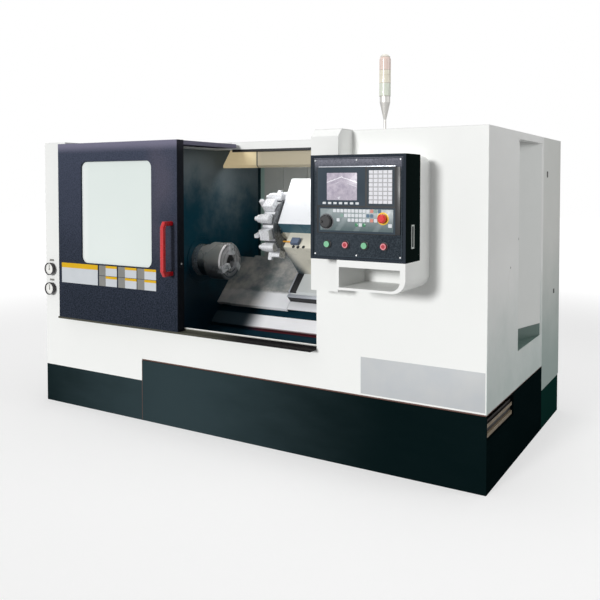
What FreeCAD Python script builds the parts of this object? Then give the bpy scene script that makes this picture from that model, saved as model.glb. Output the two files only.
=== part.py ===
import FreeCAD, Part
import math
import os
import re
import Sketcher

# A slant-bed turning lathe. X runs along the spindle to the right, Y to the rear, Z up from the floor.
# Every length is in millimetres and every angle in degrees.
# Radius at which the corners of a sketch first stand, before their distances are fixed.
firstRadius = 100

sizes = {
    # casing
    "halfLength": 1600,
    "frontY": -830,
    "frontDepth": 1163,
    "bodyTop": 1840,
    "sheet": 4,
    "sideClearance": 0.3,
    "hairline": 0.3,
    # plinths
    "leftPlinthLength": 915,
    "leftPlinthTop": 262,
    "rightPlinthTop": 395,
    "shadowGap": 10,
    "notchFront": 10,
    "notchWidth": 490,
    "notchDrop": 125,
    "notchDepth": 400,
    "tankInset": 14,
    "tankHeight": 96,
    "tankWall": 5,
    "railReach": 8,
    "railRise": 12,
    "railHeight": 20,
    "railPitch": 50,
    # front opening and the sliding door
    "leftCoverLength": 1200,
    "rightCoverLength": 969,
    "sillTop": 648,
    "roofOpeningDepth": 610,
    "doorRunDrop": 50,
    "endStrip": 210,
    "doorWidth": 1072,
    "doorBottom": 630,
    "doorTopDrop": 16,
    "doorDepth": 60,
    "doorGap": 9,
    "doorSkin": 5,
    "doorRim": 24,
    "doorRoofSheet": 26,
    "doorRoofCut": 26,
    "windowInset": 225,
    "windowWidth": 632,
    "windowRise": 386,
    "windowHeight": 683,
    "windowRound": 45,
    "windowFrame": 26,
    "glassThick": 8,
    "glassSet": 12,
    "trackOverrun": 10,
    "trackDrop": 14,
    "trackLedge": 12,
    "handleInset": 51,
    "handleRise": 348,
    "handleHeight": 341,
    "handleReach": 92,
    "handleRadius": 14,
    "handleBend": 34,
    # slanted bed, seen from the spindle axis: across runs up the slope, above stands off the slope
    "spindleSetback": 711,
    "spindleZ": 1026,
    "bedSlant": 45,
    "bedFace": -420,
    "wayHeight": 35,
    "bedAcrossLow": -360,
    "bedAcrossHigh": 330,
    "bedFrontFoot": 78,
    "bedBackGap": 73,
    "headOverhang": 20,
    "bedEndGap": 5,
    "bedFootLength": 380,
    "bedFootSet": 14,
    "waySet": 5,
    "wayWidth": 60,
    "carriageWayLow": -10,
    "carriageWayHigh": 230,
    "tailWayLow": -345,
    "tailWayHigh": -250,
    "tailWayWidth": 100,
    "screwAcross": 125,
    "screwAbove": -395,
    "screwRadius": 16,
    "screwFit": 0.05,
    "bearingHalf": 30,
    "bearingLength": 40,
    "bearingTop": -365,
    # headstock and spindle
    "headLength": 524,
    "headClear": 5,
    "headHalf": 200,
    "headShoulder": 60,
    "headCrown": 150,
    "headCrownHalf": 110,
    "spindleRadius": 60,
    "bearingFit": 0.05,
    "spindleTailRadius": 45,
    "spindleTailLength": 235,
    "spindleOverrun": 15,
    "noseLength": 51,
    "noseDistance": 1100,
    "noseRadius": 105,
    "spindleBore": 31,
    "wallSet": 1,
    "wallSheet": 5,
    "wallHoleFit": 7,
    "cylinderLength": 150,
    "cylinderRadius": 100,
    "cylinderNeck": 62,
    # belt drive
    "pulleySet": 80,
    "pulleyWidth": 80,
    "pulleyRadius": 110,
    "pulleyRim": 8,
    "motorSetback": 463,
    "motorHeight": 190,
    "motorPulleyRadius": 75,
    "motorRadius": 150,
    "motorLength": 290,
    "motorGap": 8,
    "motorShaft": 24,
    "motorFoot": 130,
    "beltThick": 7,
    "beltFit": 0.3,
    # chuck
    "chuckRadius": 125,
    "chuckReach": 200,
    "chuckLength": 130,
    "backplateRadius": 108,
    "chuckBore": 38,
    "chuckEdge": 8,
    "jawWidth": 36,
    "jawFit": 0.1,
    "jawSlotDepth": 30,
    "jawSlotInner": 22,
    "jawInner": 46,
    "jawLength": 70,
    "jawReach": 28,
    "jawStep": 22,
    "jawStepReach": 12,
    "jawScrew": 6,
    # carriage, cross slide and turret
    "carriageStart": 595,
    "carriageLength": 400,
    "carriageLow": -20,
    "carriageWidth": 330,
    "carriageTop": -300,
    "grooveHalf": 22,
    "grooveDepth": 14,
    "crossInset": 30,
    "crossLow": -40,
    "crossLength": 560,
    "crossTop": -255,
    "dovetail": 18,
    "turretOverhang": 35,
    "turretLength": 295,
    "turretLow": 130,
    "turretHigh": 650,
    "turretTop": 195,
    "turretSlope": 54,
    "coverFoot": 257,
    "coverFootTop": 108,
    "headTop": 20,
    "headSet": 60,
    "discAcross": 340,
    "discRadius": 175,
    "discThick": 85,
    "discHub": 95,
    "discHubReach": 8,
    "stations": 12,
    "holderWidth": 70,
    "holderHeight": 50,
    "holderInset": 10,
    "shankSize": 25,
    "shankReach": 70,
    "shankStand": 27,
    "boringRadius": 27,
    "boringBar": 15,
    "boringOut": 200,
    "boringSleeve": 20,
    "boringReach": 45,
    # way covers
    "coverAbove": -345,
    "coverStep": 10,
    "coverSheet": 4,
    "coverLow": -104,
    "coverHigh": 318,
    "coverSkirt": 28,
    "leftFixedLength": 470,
    "leftSlidingLength": 470,
    "rightFixedLength": 508,
    "rightOverlap": 148,
    # tailstock
    "tailSetback": 340,
    "tailLength": 300,
    "tailHead": 88,
    "quillRadius": 45,
    "quillFit": 0.05,
    "quillOut": 95,
    "quillLength": 370,
    "quillStop": 10,
    "centreLength": 55,
    "centreRadius": 26,
    # chip space
    "endBay": 260,
    "trayLip": 60,
    "trayFoot": 130,
    "trayFloor": 430,
    "trayFall": 12,
    "backWallGap": 18,
    "backWallSheet": 6,
    "ribWidth": 24,
    "ribCount": 8,
    "ribDepth": 8,
    "lampInset": 51,
    "lampEndGap": 71,
    "lampGap": 8,
    "lampDepth": 62,
    "lampDrop": 178,
    "lampEdge": 16,
    "lampSlope": 110,
    # recess on the right end
    "recessSetback": 583,
    "recessLength": 540,
    "recessBottom": 610,
    "recessTopMargin": 40,
    "recessInset": 140,
    "recessPlate": 6,
    "recessMargin": 12,
    "plateRise": 75,
    # pendant
    "columnGap": 59,
    "columnWidth": 163,
    "columnBottom": 983,
    "columnProud": 2,
    "columnReach": 163,
    "columnChamfer": 41,
    "pendantWidth": 521,
    "pendantSet": 88,
    "pendantBottom": 1170,
    "pendantHeight": 525,
    "housingReach": 136,
    "boxReach": 319,
    "boxRim": 14,
    "boxRecess": 10,
    "housingRound": 60,
    "podWidth": 370,
    "podHeight": 150,
    "podWall": 12,
    "podWallRight": 28,
    "podWallTop": 35,
    "podRound": 70,
    "podInnerRound": 50,
    "podDepth": 296,
    "panelThick": 4,
    "screenInset": 40,
    "screenRise": 272,
    "screenWidth": 267,
    "screenHeight": 189,
    "screenThick": 5,
    "glassInset": 54,
    "glassRise": 27,
    "glassWidth": 169,
    "glassHeight": 136,
    "glassRecess": 2,
    "keypadSet": 277,
    "keypadWidth": 146,
    "keypadHeight": 186,
    "keyColumns": 5,
    "keyRows": 8,
    "keyGap": 5,
    "keyRise": 2,
    "keyMargin": 12,
    "lowerInset": 47,
    "lowerRise": 137,
    "lowerWidth": 420,
    "lowerHeight": 126,
    "wheelInset": 93,
    "wheelRise": 191,
    "wheelRadius": 33,
    "wheelReach": 20,
    "wheelKnob": 7,
    "stopInset": 404,
    "stopRise": 212,
    "stopRadius": 22,
    "stopReach": 24,
    "buttonInset": 97,
    "buttonRise": 77,
    "buttonPitch": 104,
    "buttonRadius": 16,
    "buttonReach": 9,
    "bezelRadius": 20,
    "bezelReach": 4,
    "stemRadius": 8,
    "stemFit": 0.1,
    "stemLength": 14,
    "pressTravel": 3,
    "portRise": 66,
    "portHeight": 116,
    "portSet": 68,
    "portWidth": 34,
    "portFrame": 7,
    "portReach": 3,
    # signal tower
    "towerSet": 150,
    "towerDepth": 450,
    "towerFoot": 30,
    "poleRadius": 8,
    "poleHeight": 91,
    "neckHeight": 101,
    "collarRadius": 31,
    "collarHeight": 36,
    "lampRadius": 34,
    "towerLampHeight": 250,
    # gauges
    "gaugeInset": 60,
    "gaugeZ": 947,
    "gaugePitch": 140,
    "gaugeRadius": 44,
    "gaugeReach": 30,
    "gaugeRim": 5,
    "gaugeFace": 6,
    "needleLength": 30,
    "needleHub": 4,
    # rear cabinet and hydraulic unit
    "cabinetLength": 1700,
    "cabinetDepth": 491,
    "rearPlinthTop": 250,
    "cabinetSheet": 4,
    "cabinetDoorThick": 20,
    "cabinetDoorGap": 2,
    "louvreBottom": 360,
    "louvreLength": 260,
    "louvreSlot": 9,
    "louvrePitch": 26,
    "louvreRows": 8,
    "cabinetPull": 30,
    "unitInset": 520,
    "unitLength": 620,
    "unitDepth": 380,
    "unitHeight": 420,
    "unitLid": 18,
    "unitMotorRadius": 85,
    "unitMotorHeight": 300,
    "unitPump": 60,
    # servo motor of the long screw
    "servoHalf": 65,
    "servoLength": 150,
    "servoStandoff": 4,
}

# Places worked out from the sizes above: stations along X, depths in Y and heights in Z.
places = {
    "leftEnd": "-halfLength",
    "rightEnd": "halfLength",
    "rearOfFront": "frontY + frontDepth",
    "bodyBottom": "rightPlinthTop + shadowGap",
    "plinthSplit": "leftEnd + leftPlinthLength",
    "openingLeft": "leftEnd + leftCoverLength",
    "openingRight": "rightEnd - rightCoverLength",
    "stepRear": "frontY + roofOpeningDepth",
    "doorRunTop": "bodyTop - doorRunDrop",
    "doorTop": "bodyTop - doorTopDrop",
    "doorLeft": "leftEnd + endStrip",
    "doorRight": "doorLeft + doorWidth",
    "doorFace": "frontY - doorGap - doorDepth",
    "windowLeft": "doorLeft + windowInset",
    "windowRight": "windowLeft + windowWidth",
    "windowBottom": "doorBottom + windowRise",
    "windowTop": "windowBottom + windowHeight",
    "handleX": "doorRight - handleInset",
    "handleBottom": "doorBottom + handleRise",
    "handleTop": "handleBottom + handleHeight",
    "handleFace": "doorFace - handleReach",
    "spindleY": "rearOfFront - spindleSetback",
    "bedRearY": "rearOfFront - bedBackGap",
    "bedLowY": "spindleY + cos(bedSlant * 1deg) * bedAcrossLow - sin(bedSlant * 1deg) * bedFace",
    "bedFrontY": "bedLowY - bedFrontFoot",
    "bedFootFront": "bedFrontY + bedFootSet",
    "noseFront": "leftEnd + noseDistance",
    "noseBack": "noseFront - noseLength",
    "headRight": "noseBack - headClear",
    "headLeft": "headRight - headLength",
    "spindleTailStart": "headLeft - spindleOverrun",
    "spindleTailEnd": "spindleTailStart - spindleTailLength",
    "pulleyLeft": "spindleTailEnd + pulleySet",
    "motorY": "rearOfFront - motorSetback",
    "motorZ": "leftPlinthTop + motorHeight",
    "wallX": "noseBack + wallSet",
    "wallFace": "wallX + wallSheet",
    "chuckFront": "noseFront + chuckReach",
    "bulkheadX": "rightEnd - endBay",
    "bedLeft": "headLeft - headOverhang",
    "bedRight": "bulkheadX - bedEndGap",
    "bedFootLeft": "headLeft",
    "bedFootRight": "bedFootLeft + bedFootLength",
    "wayLeft": "wallFace + waySet",
    "wayTop": "bedFace + wayHeight",
    "carriageLeft": "wallFace + carriageStart",
    "carriageRight": "carriageLeft + carriageLength",
    "rightFixedLeft": "bulkheadX - rightFixedLength",
    "turretLeft": "carriageLeft - turretOverhang",
    "discRight": "turretLeft - discHubReach - hairline",
    "discLeft": "discRight - discThick",
    "discY": "spindleY + cos(bedSlant * 1deg) * discAcross",
    "discZ": "spindleZ + sin(bedSlant * 1deg) * discAcross",
    "tailLeft": "bulkheadX - tailSetback",
    "quillStart": "tailLeft - quillOut",
    "quillBack": "tailLeft + tailLength - quillStop",
    "backWallY": "rearOfFront - backWallGap",
    "ribPitch": "(bulkheadX - wallFace) / (ribCount + 1)",
    "lampLeft": "wallFace + lampInset",
    "lampLength": "openingRight - lampEndGap - lampLeft",
    "lampY": "stepRear + lampGap",
    "lampBottom": "bodyTop - lampDrop",
    "recessFront": "rearOfFront - recessSetback",
    "recessRear": "recessFront + recessLength",
    "recessTop": "bodyTop - recessTopMargin",
    "plateBottom": "recessBottom + plateRise",
    "columnLeft": "openingRight + columnGap",
    "columnRight": "columnLeft + columnWidth",
    "columnTop": "bodyTop + columnProud",
    "columnFace": "frontY - columnReach",
    "trackLeft": "doorLeft - trackOverrun",
    "trackRight": "openingRight",
    "trackBottom": "doorBottom - trackDrop",
    "pendantLeft": "columnLeft + pendantSet",
    "pendantRight": "pendantLeft + pendantWidth",
    "pendantTop": "pendantBottom + pendantHeight",
    "housingFace": "frontY - housingReach",
    "podLeft": "pendantRight - podWidth",
    "podBottom": "pendantBottom - podHeight",
    "boxFace": "frontY - boxReach",
    "boxFloor": "boxFace + boxRecess",
    "screenLeft": "pendantLeft + screenInset",
    "screenBottom": "pendantBottom + screenRise",
    "glassLeft": "screenLeft + glassInset",
    "glassBottom": "screenBottom + glassRise",
    "keypadLeft": "screenLeft + keypadSet",
    "lowerLeft": "pendantLeft + lowerInset",
    "lowerBottom": "pendantBottom + lowerRise",
    "wheelX": "pendantLeft + wheelInset",
    "wheelZ": "pendantBottom + wheelRise",
    "stopX": "pendantLeft + stopInset",
    "stopZ": "pendantBottom + stopRise",
    "buttonX": "pendantLeft + buttonInset",
    "buttonZ": "pendantBottom + buttonRise",
    "portBottom": "pendantBottom + portRise",
    "portFace": "boxFace + portSet",
    "towerX": "columnLeft + towerSet",
    "towerY": "frontY + towerDepth",
    "poleTop": "bodyTop + poleHeight",
    "collarBottom": "poleTop + neckHeight",
    "lampFoot": "collarBottom + collarHeight",
    "lampTop": "lampFoot + towerLampHeight",
    "gaugeX": "leftEnd + gaugeInset",
    "cabinetLeft": "rightEnd - cabinetLength",
    "cabinetRear": "rearOfFront + cabinetDepth",
    "unitLeft": "leftEnd + unitInset",
}

doc = FreeCAD.newDocument("turning_lathe")
sheet = doc.addObject("Spreadsheet::Sheet", "Sizes")
for row, (alias, amount) in enumerate(sizes.items(), start=1):
    cell = "A%d" % row
    sheet.set(cell, str(amount))
    sheet.setAlias(cell, alias)
doc.recompute()

planeRoles = {"XY": "XY_Plane", "XZ": "XZ_Plane", "YZ": "YZ_Plane"}
axisRoles = {"X": "X_Axis", "Y": "Y_Axis", "Z": "Z_Axis"}
made = []


# Turns a formula written with plain size names into one that reads the sheet.
def bound(formula):
    def named(match):
        word = match.group(0)
        if word in sizes:
            return "Sizes." + word
        if word in places:
            return "Places." + word
        return word
    return re.sub(r"[A-Za-z]\w*", named, str(formula))


stations = doc.addObject("App::VarSet", "Places")
for name, formula in places.items():
    stations.addProperty("App::PropertyFloat", name)
    stations.setExpression(name, bound(formula))
doc.recompute()


# Reads the present value of a size or a place.
def value(name):
    return sheet.get(name) if name in sizes else getattr(stations, name)


# Gives the Y and Z formulas of a point stated across and above the slanted bed.
def slanted(across, above):
    cosine = "cos(bedSlant * 1deg)"
    sine = "sin(bedSlant * 1deg)"
    y = "spindleY + %s * (%s) - %s * (%s)" % (cosine, across, sine, above)
    z = "spindleZ + %s * (%s) + %s * (%s)" % (sine, across, cosine, above)
    return y, z


def slope(points):
    return [slanted(across, above) for across, above in points]


# Lists the corners of an upright rectangle between two opposite corners.
def rectangle(low, high):
    return [(low[0], low[1]), (high[0], low[1]), (high[0], high[1]), (low[0], high[1])]


class Piece:
    # One physical piece: a body whose sketches and features are bound to the sheet.
    def __init__(self, name, place=None):
        self.body = doc.addObject("PartDesign::Body", name)
        self.body.Label = name
        self.count = 0
        self.name = name
        if place is not None:
            self.body.Placement = place
        made.append(self.body)

    def origin(self, role):
        return [item for item in self.body.Origin.OriginFeatures if item.Role == role][0]

    def label(self, kind):
        self.count += 1
        return "%s_%s_%d" % (self.name, kind, self.count)

    def sketch(self, plane, start):
        drawing = self.body.newObject("Sketcher::SketchObject", self.label("sketch"))
        drawing.AttachmentSupport = [(self.origin(planeRoles[plane]), "")]
        drawing.MapMode = "FlatFace"
        sign = "-1 * " if plane == "XZ" else ""
        drawing.setExpression("AttachmentOffset.Base.z", bound("%s(%s)" % (sign, start)))
        return drawing

    def outline(self, drawing, corners):
        total = len(corners)
        first = drawing.GeometryCount
        for index in range(total):
            here = polar(index, total)
            there = polar(index + 1, total)
            drawing.addGeometry(Part.LineSegment(here, there), False)
        for index in range(total):
            after = first + (index + 1) % total
            drawing.addConstraint(Sketcher.Constraint("Coincident", first + index, 2, after, 1))
        for index, (horizontal, vertical) in enumerate(corners):
            self.fix(drawing, "DistanceX", first + index, 1, horizontal)
            self.fix(drawing, "DistanceY", first + index, 1, vertical)

    def fix(self, drawing, kind, geometry, vertex, formula):
        number = drawing.addConstraint(Sketcher.Constraint(kind, -1, 1, geometry, vertex, 1.0))
        drawing.setExpression("Constraints[%d]" % number, bound(formula))

    def circle(self, drawing, centre, radius):
        normal = FreeCAD.Vector(0, 0, 1)
        middle = FreeCAD.Vector(firstRadius, firstRadius, 0)
        number = drawing.addGeometry(Part.Circle(middle, normal, firstRadius), False)
        self.fix(drawing, "DistanceX", number, 3, centre[0])
        self.fix(drawing, "DistanceY", number, 3, centre[1])
        rule = drawing.addConstraint(Sketcher.Constraint("Radius", number, firstRadius))
        drawing.setExpression("Constraints[%d]" % rule, bound(radius))

    def extrude(self, drawing, plane, length, solid):
        kind = "Pad" if solid else "Pocket"
        feature = self.body.newObject("PartDesign::" + kind, self.label(kind.lower()))
        feature.Profile = drawing
        feature.setExpression("Length", bound(length))
        feature.Reversed = (plane == "XZ") == solid
        return feature

    def pad(self, plane, corners, start, length):
        drawing = self.sketch(plane, start)
        self.outline(drawing, corners)
        return self.extrude(drawing, plane, length, True)

    def cut(self, plane, corners, start, length):
        drawing = self.sketch(plane, start)
        self.outline(drawing, corners)
        return self.extrude(drawing, plane, length, False)

    def rod(self, plane, centre, radius, start, length):
        drawing = self.sketch(plane, start)
        self.circle(drawing, centre, radius)
        return self.extrude(drawing, plane, length, True)

    def bore(self, plane, centre, radius, start, length):
        drawing = self.sketch(plane, start)
        self.circle(drawing, centre, radius)
        return self.extrude(drawing, plane, length, False)

    # Turns a profile of (along, radius) points about the piece's own X, Y or Z axis.
    def turn(self, axis, corners):
        plane = "YZ" if axis == "Y" else "XZ"
        drawing = self.sketch(plane, "0")
        if axis == "Z":
            corners = [(radius, along) for along, radius in corners]
        self.outline(drawing, corners)
        feature = self.body.newObject("PartDesign::Revolution", self.label("turn"))
        feature.Profile = drawing
        feature.ReferenceAxis = (drawing, ["V_Axis" if axis == "Z" else "H_Axis"])
        feature.Angle = 360
        return feature

    def ring(self, feature, axis, occurrences):
        pattern = self.body.newObject("PartDesign::PolarPattern", self.label("pattern"))
        pattern.Originals = [feature]
        pattern.Axis = (self.origin(axisRoles[axis]), [""])
        pattern.Angle = 360
        pattern.setExpression("Occurrences", bound(occurrences))
        self.body.Tip = pattern
        return pattern

    def repeat(self, feature, axis, length, occurrences):
        pattern = self.body.newObject("PartDesign::LinearPattern", self.label("pattern"))
        pattern.Originals = [feature]
        pattern.Direction = (self.origin(axisRoles[axis]), [""])
        pattern.setExpression("Length", bound(length))
        pattern.setExpression("Occurrences", bound(occurrences))
        self.body.Tip = pattern
        return pattern

    # Rounds or bevels the edges of the finished form that the chooser accepts.
    def soften(self, kind, size, chooser):
        doc.recompute()
        base = self.body.Tip
        names = []
        for index, edge in enumerate(base.Shape.Edges, start=1):
            if chooser(edge):
                names.append("Edge%d" % index)
        feature = self.body.newObject("PartDesign::" + kind, self.label(kind.lower()))
        feature.Base = (base, names)
        feature.setExpression("Radius" if kind == "Fillet" else "Size", bound(size))
        return feature


def polar(index, total):
    angle = 2 * math.pi * index / total
    return FreeCAD.Vector(firstRadius * math.cos(angle), firstRadius * math.sin(angle), 0)


# Makes a chooser for straight edges along one axis whose middle lies inside a box of limits.
def along(axis, **limits):
    def chooser(edge):
        if edge.Curve.TypeId != "Part::GeomLine":
            return False
        span = edge.Vertexes[-1].Point.sub(edge.Vertexes[0].Point)
        direction = {"X": abs(span.x), "Y": abs(span.y), "Z": abs(span.z)}
        if direction[axis] < 0.999 * span.Length:
            return False
        middle = edge.CenterOfMass
        for name, (low, high) in limits.items():
            if not low - 0.5 <= getattr(middle, name) <= high + 0.5:
                return False
        return True
    return chooser


def at(value):
    return (value, value)


# The two dark plinths under the front section; the right one is notched at its end.
def makePlinths():
    left = Piece("left_plinth")
    left.pad("XY", rectangle(("-halfLength", "frontY"), ("plinthSplit", "rearOfFront")), "0", "leftPlinthTop")
    right = Piece("right_plinth")
    right.pad("XY", rectangle(("plinthSplit", "frontY"), ("halfLength", "rearOfFront")), "0", "rightPlinthTop")
    low = ("halfLength - notchDepth", "frontY + notchFront")
    high = ("halfLength", "frontY + notchFront + notchWidth")
    right.cut("XY", rectangle(low, high), "rightPlinthTop - notchDrop", "notchDrop")


# The open coolant tray that stands in the notch of the right plinth, with two rails on its outer end.
def makeTank():
    tank = Piece("coolant_tank")
    left = "halfLength - notchDepth + tankInset"
    front = "frontY + notchFront + tankInset"
    right = "halfLength - tankInset"
    rear = "frontY + notchFront + notchWidth - tankInset"
    floor = "rightPlinthTop - notchDrop"
    tank.pad("XY", rectangle((left, front), (right, rear)), floor, "tankHeight")
    inner = rectangle((left + " + tankWall", front + " + tankWall"),
                      (right + " - tankWall", rear + " - tankWall"))
    tank.cut("XY", inner, floor + " + tankWall", "tankHeight")
    for share in ("0.33", "0.67"):
        middle = "%s + (notchWidth - 2 * tankInset) * %s" % (front, share)
        bar = rectangle((left, middle + " - 2 * tankWall"), (right, middle + " + 2 * tankWall"))
        tank.pad("XY", bar, floor + " + tankHeight - 3 * tankWall", "3 * tankWall")
    for rise in ("railRise", "railRise + railPitch"):
        rail = rectangle((right, front), (right + " + railReach", rear))
        tank.pad("XY", rail, "%s + %s" % (floor, rise), "railHeight")


# Left casing: end wall, headstock cover, apron under the opening, roof and back in one welded sheet.
def makeLeftHousing():
    casing = Piece("left_housing")
    outer = rectangle(("frontY", "leftPlinthTop"), ("rearOfFront", "bodyTop"))
    casing.pad("YZ", outer, "-halfLength", "halfLength + openingRight")
    inner = rectangle(("frontY + sheet", "leftPlinthTop - sheet"), ("rearOfFront - sheet", "bodyTop - sheet"))
    casing.cut("YZ", inner, "-halfLength + sheet", "halfLength + openingRight")
    foot = rectangle(("frontY - sheet", "leftPlinthTop - sheet"), ("rearOfFront + sheet", "bodyBottom"))
    casing.cut("YZ", foot, "plinthSplit", "openingRight - plinthSplit + sheet")
    stepRear = "stepRear"
    well = rectangle(("frontY - sheet", "doorRunTop"), (stepRear, "bodyTop + sheet"))
    casing.cut("YZ", well, "doorLeft - sheet", "openingRight - doorLeft + 2 * sheet")
    shelf = rectangle(("frontY", "doorRunTop - sheet"), (stepRear, "doorRunTop"))
    casing.pad("YZ", shelf, "doorLeft - 2 * sheet", "openingLeft - doorLeft + 2 * sheet")
    step = rectangle((stepRear, "doorRunTop - sheet"), (stepRear + " + sheet", "bodyTop - sheet"))
    casing.pad("YZ", step, "doorLeft - 2 * sheet", "openingRight - doorLeft + 2 * sheet")
    end = rectangle(("frontY", "doorRunTop - sheet"), (stepRear, "bodyTop"))
    casing.pad("YZ", end, "doorLeft - 2 * sheet", "sheet")
    mouth = rectangle(("openingLeft", "sillTop"), ("openingRight + sheet", "doorRunTop + sheet"))
    casing.cut("XZ", mouth, "frontY - sheet", "roofOpeningDepth + sheet")


# Right casing: front, end wall and roof, with a recess cut at a slant into the end wall.
def makeRightHousing():
    casing = Piece("right_housing")
    outer = rectangle(("frontY", "bodyBottom"), ("rearOfFront", "bodyTop"))
    casing.pad("YZ", outer, "openingRight", "halfLength - openingRight")
    inner = rectangle(("frontY + sheet", "bodyBottom - sheet"), ("rearOfFront - sheet", "bodyTop - sheet"))
    casing.cut("YZ", inner, "openingRight - sheet", "halfLength - openingRight")
    pocket = [("halfLength + sheet", "recessFront"), ("halfLength - recessInset", "recessFront"),
              ("halfLength", "recessRear"), ("halfLength + sheet", "recessRear")]
    lining = [("halfLength", "recessFront - sheet"),
              ("halfLength - recessInset - sheet", "recessFront - sheet"),
              ("halfLength - sheet", "recessRear"), ("halfLength", "recessRear")]
    casing.pad("XY", lining, "recessBottom - sheet", "recessTop - recessBottom + 2 * sheet")
    casing.cut("XY", pocket, "recessBottom", "recessTop - recessBottom")
    plate = Piece("recess_panel")
    lean = "recessInset / recessLength"
    near = "recessFront + recessMargin"
    far = "recessRear - recessMargin"
    nearX = "halfLength - recessInset + recessMargin * %s" % lean
    farX = "halfLength - recessMargin * %s" % lean
    face = [(nearX, near), (farX, far), (farX + " + recessPlate / 4", far), (nearX + " + recessPlate", near)]
    plate.pad("XY", face, "plateBottom", "recessTop - recessMargin - plateBottom")
    wallFace = rectangle(("frontY + sheet", "bodyBottom"), ("rearOfFront - sheet", "bodyTop - sheet"))
    casing.pad("YZ", wallFace, "bulkheadX", "sheet")
    casing.bore("YZ", slanted("screwAcross", "screwAbove"), "screwRadius + sheet", "bulkheadX - sheet",
                "3 * sheet")


# Cast bed: a slanted wedge with four flat ways, screw bearings and a foot over the low plinth.
def makeBed():
    bed = Piece("machine_bed")
    low = slanted("bedAcrossLow", "bedFace")
    high = slanted("bedAcrossHigh", "bedFace")
    section = [low, high, ("bedRearY", high[1]), ("bedRearY", "rightPlinthTop"),
               (low[0] + " - bedFrontFoot", "rightPlinthTop")]
    bed.pad("YZ", section, "bedLeft", "bedRight - bedLeft")
    foot = rectangle(("bedFootFront", "leftPlinthTop"), ("bedRearY", "rightPlinthTop"))
    bed.pad("YZ", foot, "bedFootLeft", "bedFootRight - bedFootLeft")
    widths = {"carriageWayLow": "wayWidth", "carriageWayHigh": "wayWidth", "tailWayLow": "wayWidth",
              "tailWayHigh": "tailWayWidth"}
    for start, width in widths.items():
        way = slope(rectangle((start, "bedFace"), ("%s + %s" % (start, width), "wayTop")))
        bed.pad("YZ", way, "wayLeft", "bedRight - wayLeft")
    for start in ("wayLeft", "bedRight - bearingLength"):
        block = slope(rectangle(("screwAcross - bearingHalf", "bedFace"),
                                ("screwAcross + bearingHalf", "bearingTop")))
        bed.pad("YZ", block, start, "bearingLength")
    bed.bore("YZ", slanted("screwAcross", "screwAbove"), "screwRadius + screwFit", "wayLeft",
             "bedRight - wayLeft")
    screw = Piece("long_screw")
    screw.rod("YZ", slanted("screwAcross", "screwAbove"), "screwRadius", "wayLeft + servoStandoff",
              "bulkheadX + sheet + servoStandoff - wayLeft")
    servo = Piece("screw_motor")
    square = slope(rectangle(("screwAcross - servoHalf", "screwAbove - servoHalf"),
                             ("screwAcross + servoHalf", "screwAbove + servoHalf")))
    servo.pad("YZ", square, "bulkheadX + sheet", "servoLength")
    servo.bore("YZ", slanted("screwAcross", "screwAbove"), "screwRadius + screwFit", "bulkheadX + sheet",
               "3 * servoStandoff")
    servoEnd = value("bulkheadX") + value("servoLength")
    servo.soften("Chamfer", "servoStandoff * 2", alongX(value("bulkheadX"), servoEnd))


def alongX(low, high):
    return along("X", x=(low, high))


# Headstock casting, the turned spindle and what turns with it at its rear end.
def makeHeadstock():
    head = Piece("headstock")
    section = slope([("-headHalf", "bedFace"), ("headHalf", "bedFace"), ("headHalf", "headShoulder"),
                     ("headCrownHalf", "headCrown"), ("-headCrownHalf", "headCrown"),
                     ("-headHalf", "headShoulder")])
    head.pad("YZ", section, "headLeft", "headRight - headLeft")
    head.bore("YZ", ("spindleY", "spindleZ"), "spindleRadius", "headLeft", "headRight - headLeft")
    axis = FreeCAD.Placement(FreeCAD.Vector(0, value("spindleY"), value("spindleZ")), FreeCAD.Rotation())
    spindle = Piece("spindle", axis)
    spindle.turn("X", [("spindleTailEnd", "spindleBore"), ("noseFront", "spindleBore"),
                       ("noseFront", "noseRadius"), ("noseBack", "noseRadius"),
                       ("noseBack", "spindleRadius - bearingFit"),
                       ("spindleTailStart", "spindleRadius - bearingFit"),
                       ("spindleTailStart", "spindleTailRadius"), ("spindleTailEnd", "spindleTailRadius")])
    start = "spindleTailEnd - cylinderLength"
    spindle.turn("X", [(start, "0"), ("spindleTailEnd", "0"), ("spindleTailEnd", "cylinderRadius"),
                        ("spindleTailEnd - cylinderLength * 0.55", "cylinderRadius"),
                        ("spindleTailEnd - cylinderLength * 0.62", "cylinderNeck"), (start, "cylinderNeck")])
    pulley = Piece("spindle_pulley", axis)
    pulley.turn("X", pulleyProfile("pulleyRadius", "spindleTailRadius"))
    wall = Piece("headstock_wall")
    floor = "trayFloor + shadowGap"
    slip = "shadowGap"
    inner = slanted("bedAcrossLow", "bedFace")
    outer = slanted("bedAcrossHigh", "bedFace")
    shape = [("frontY + sheet", floor), (inner[0] + " - bedFrontFoot", floor),
             (inner[0] + " - " + slip, inner[1]),
             (outer[0], outer[1] + " + " + slip), ("rearOfFront - sheet", outer[1] + " + " + slip),
             ("rearOfFront - sheet", "bodyTop - sheet"),
             ("stepRear + 2 * sheet", "bodyTop - sheet"),
             ("stepRear + 2 * sheet", "doorRunTop - sheet"),
             ("frontY + sheet", "doorRunTop - sheet")]
    wall.pad("YZ", shape, "wallX", "wallSheet")
    wall.bore("YZ", ("spindleY", "spindleZ"), "noseRadius + wallHoleFit", "wallX - sheet",
              "wallSheet + 2 * sheet")


# A belt pulley with a rim at each side and a hub bore.
def pulleyProfile(radius, hole):
    left = "pulleyLeft"
    right = "pulleyLeft + pulleyWidth"
    return [(left, hole), (right, hole), (right, radius + " + pulleyRim"),
            (right + " - pulleyRim / 2", radius + " + pulleyRim"), (right + " - pulleyRim / 2", radius),
            (left + " + pulleyRim / 2", radius), (left + " + pulleyRim / 2", radius + " + pulleyRim"),
            (left, radius + " + pulleyRim")]


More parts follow.
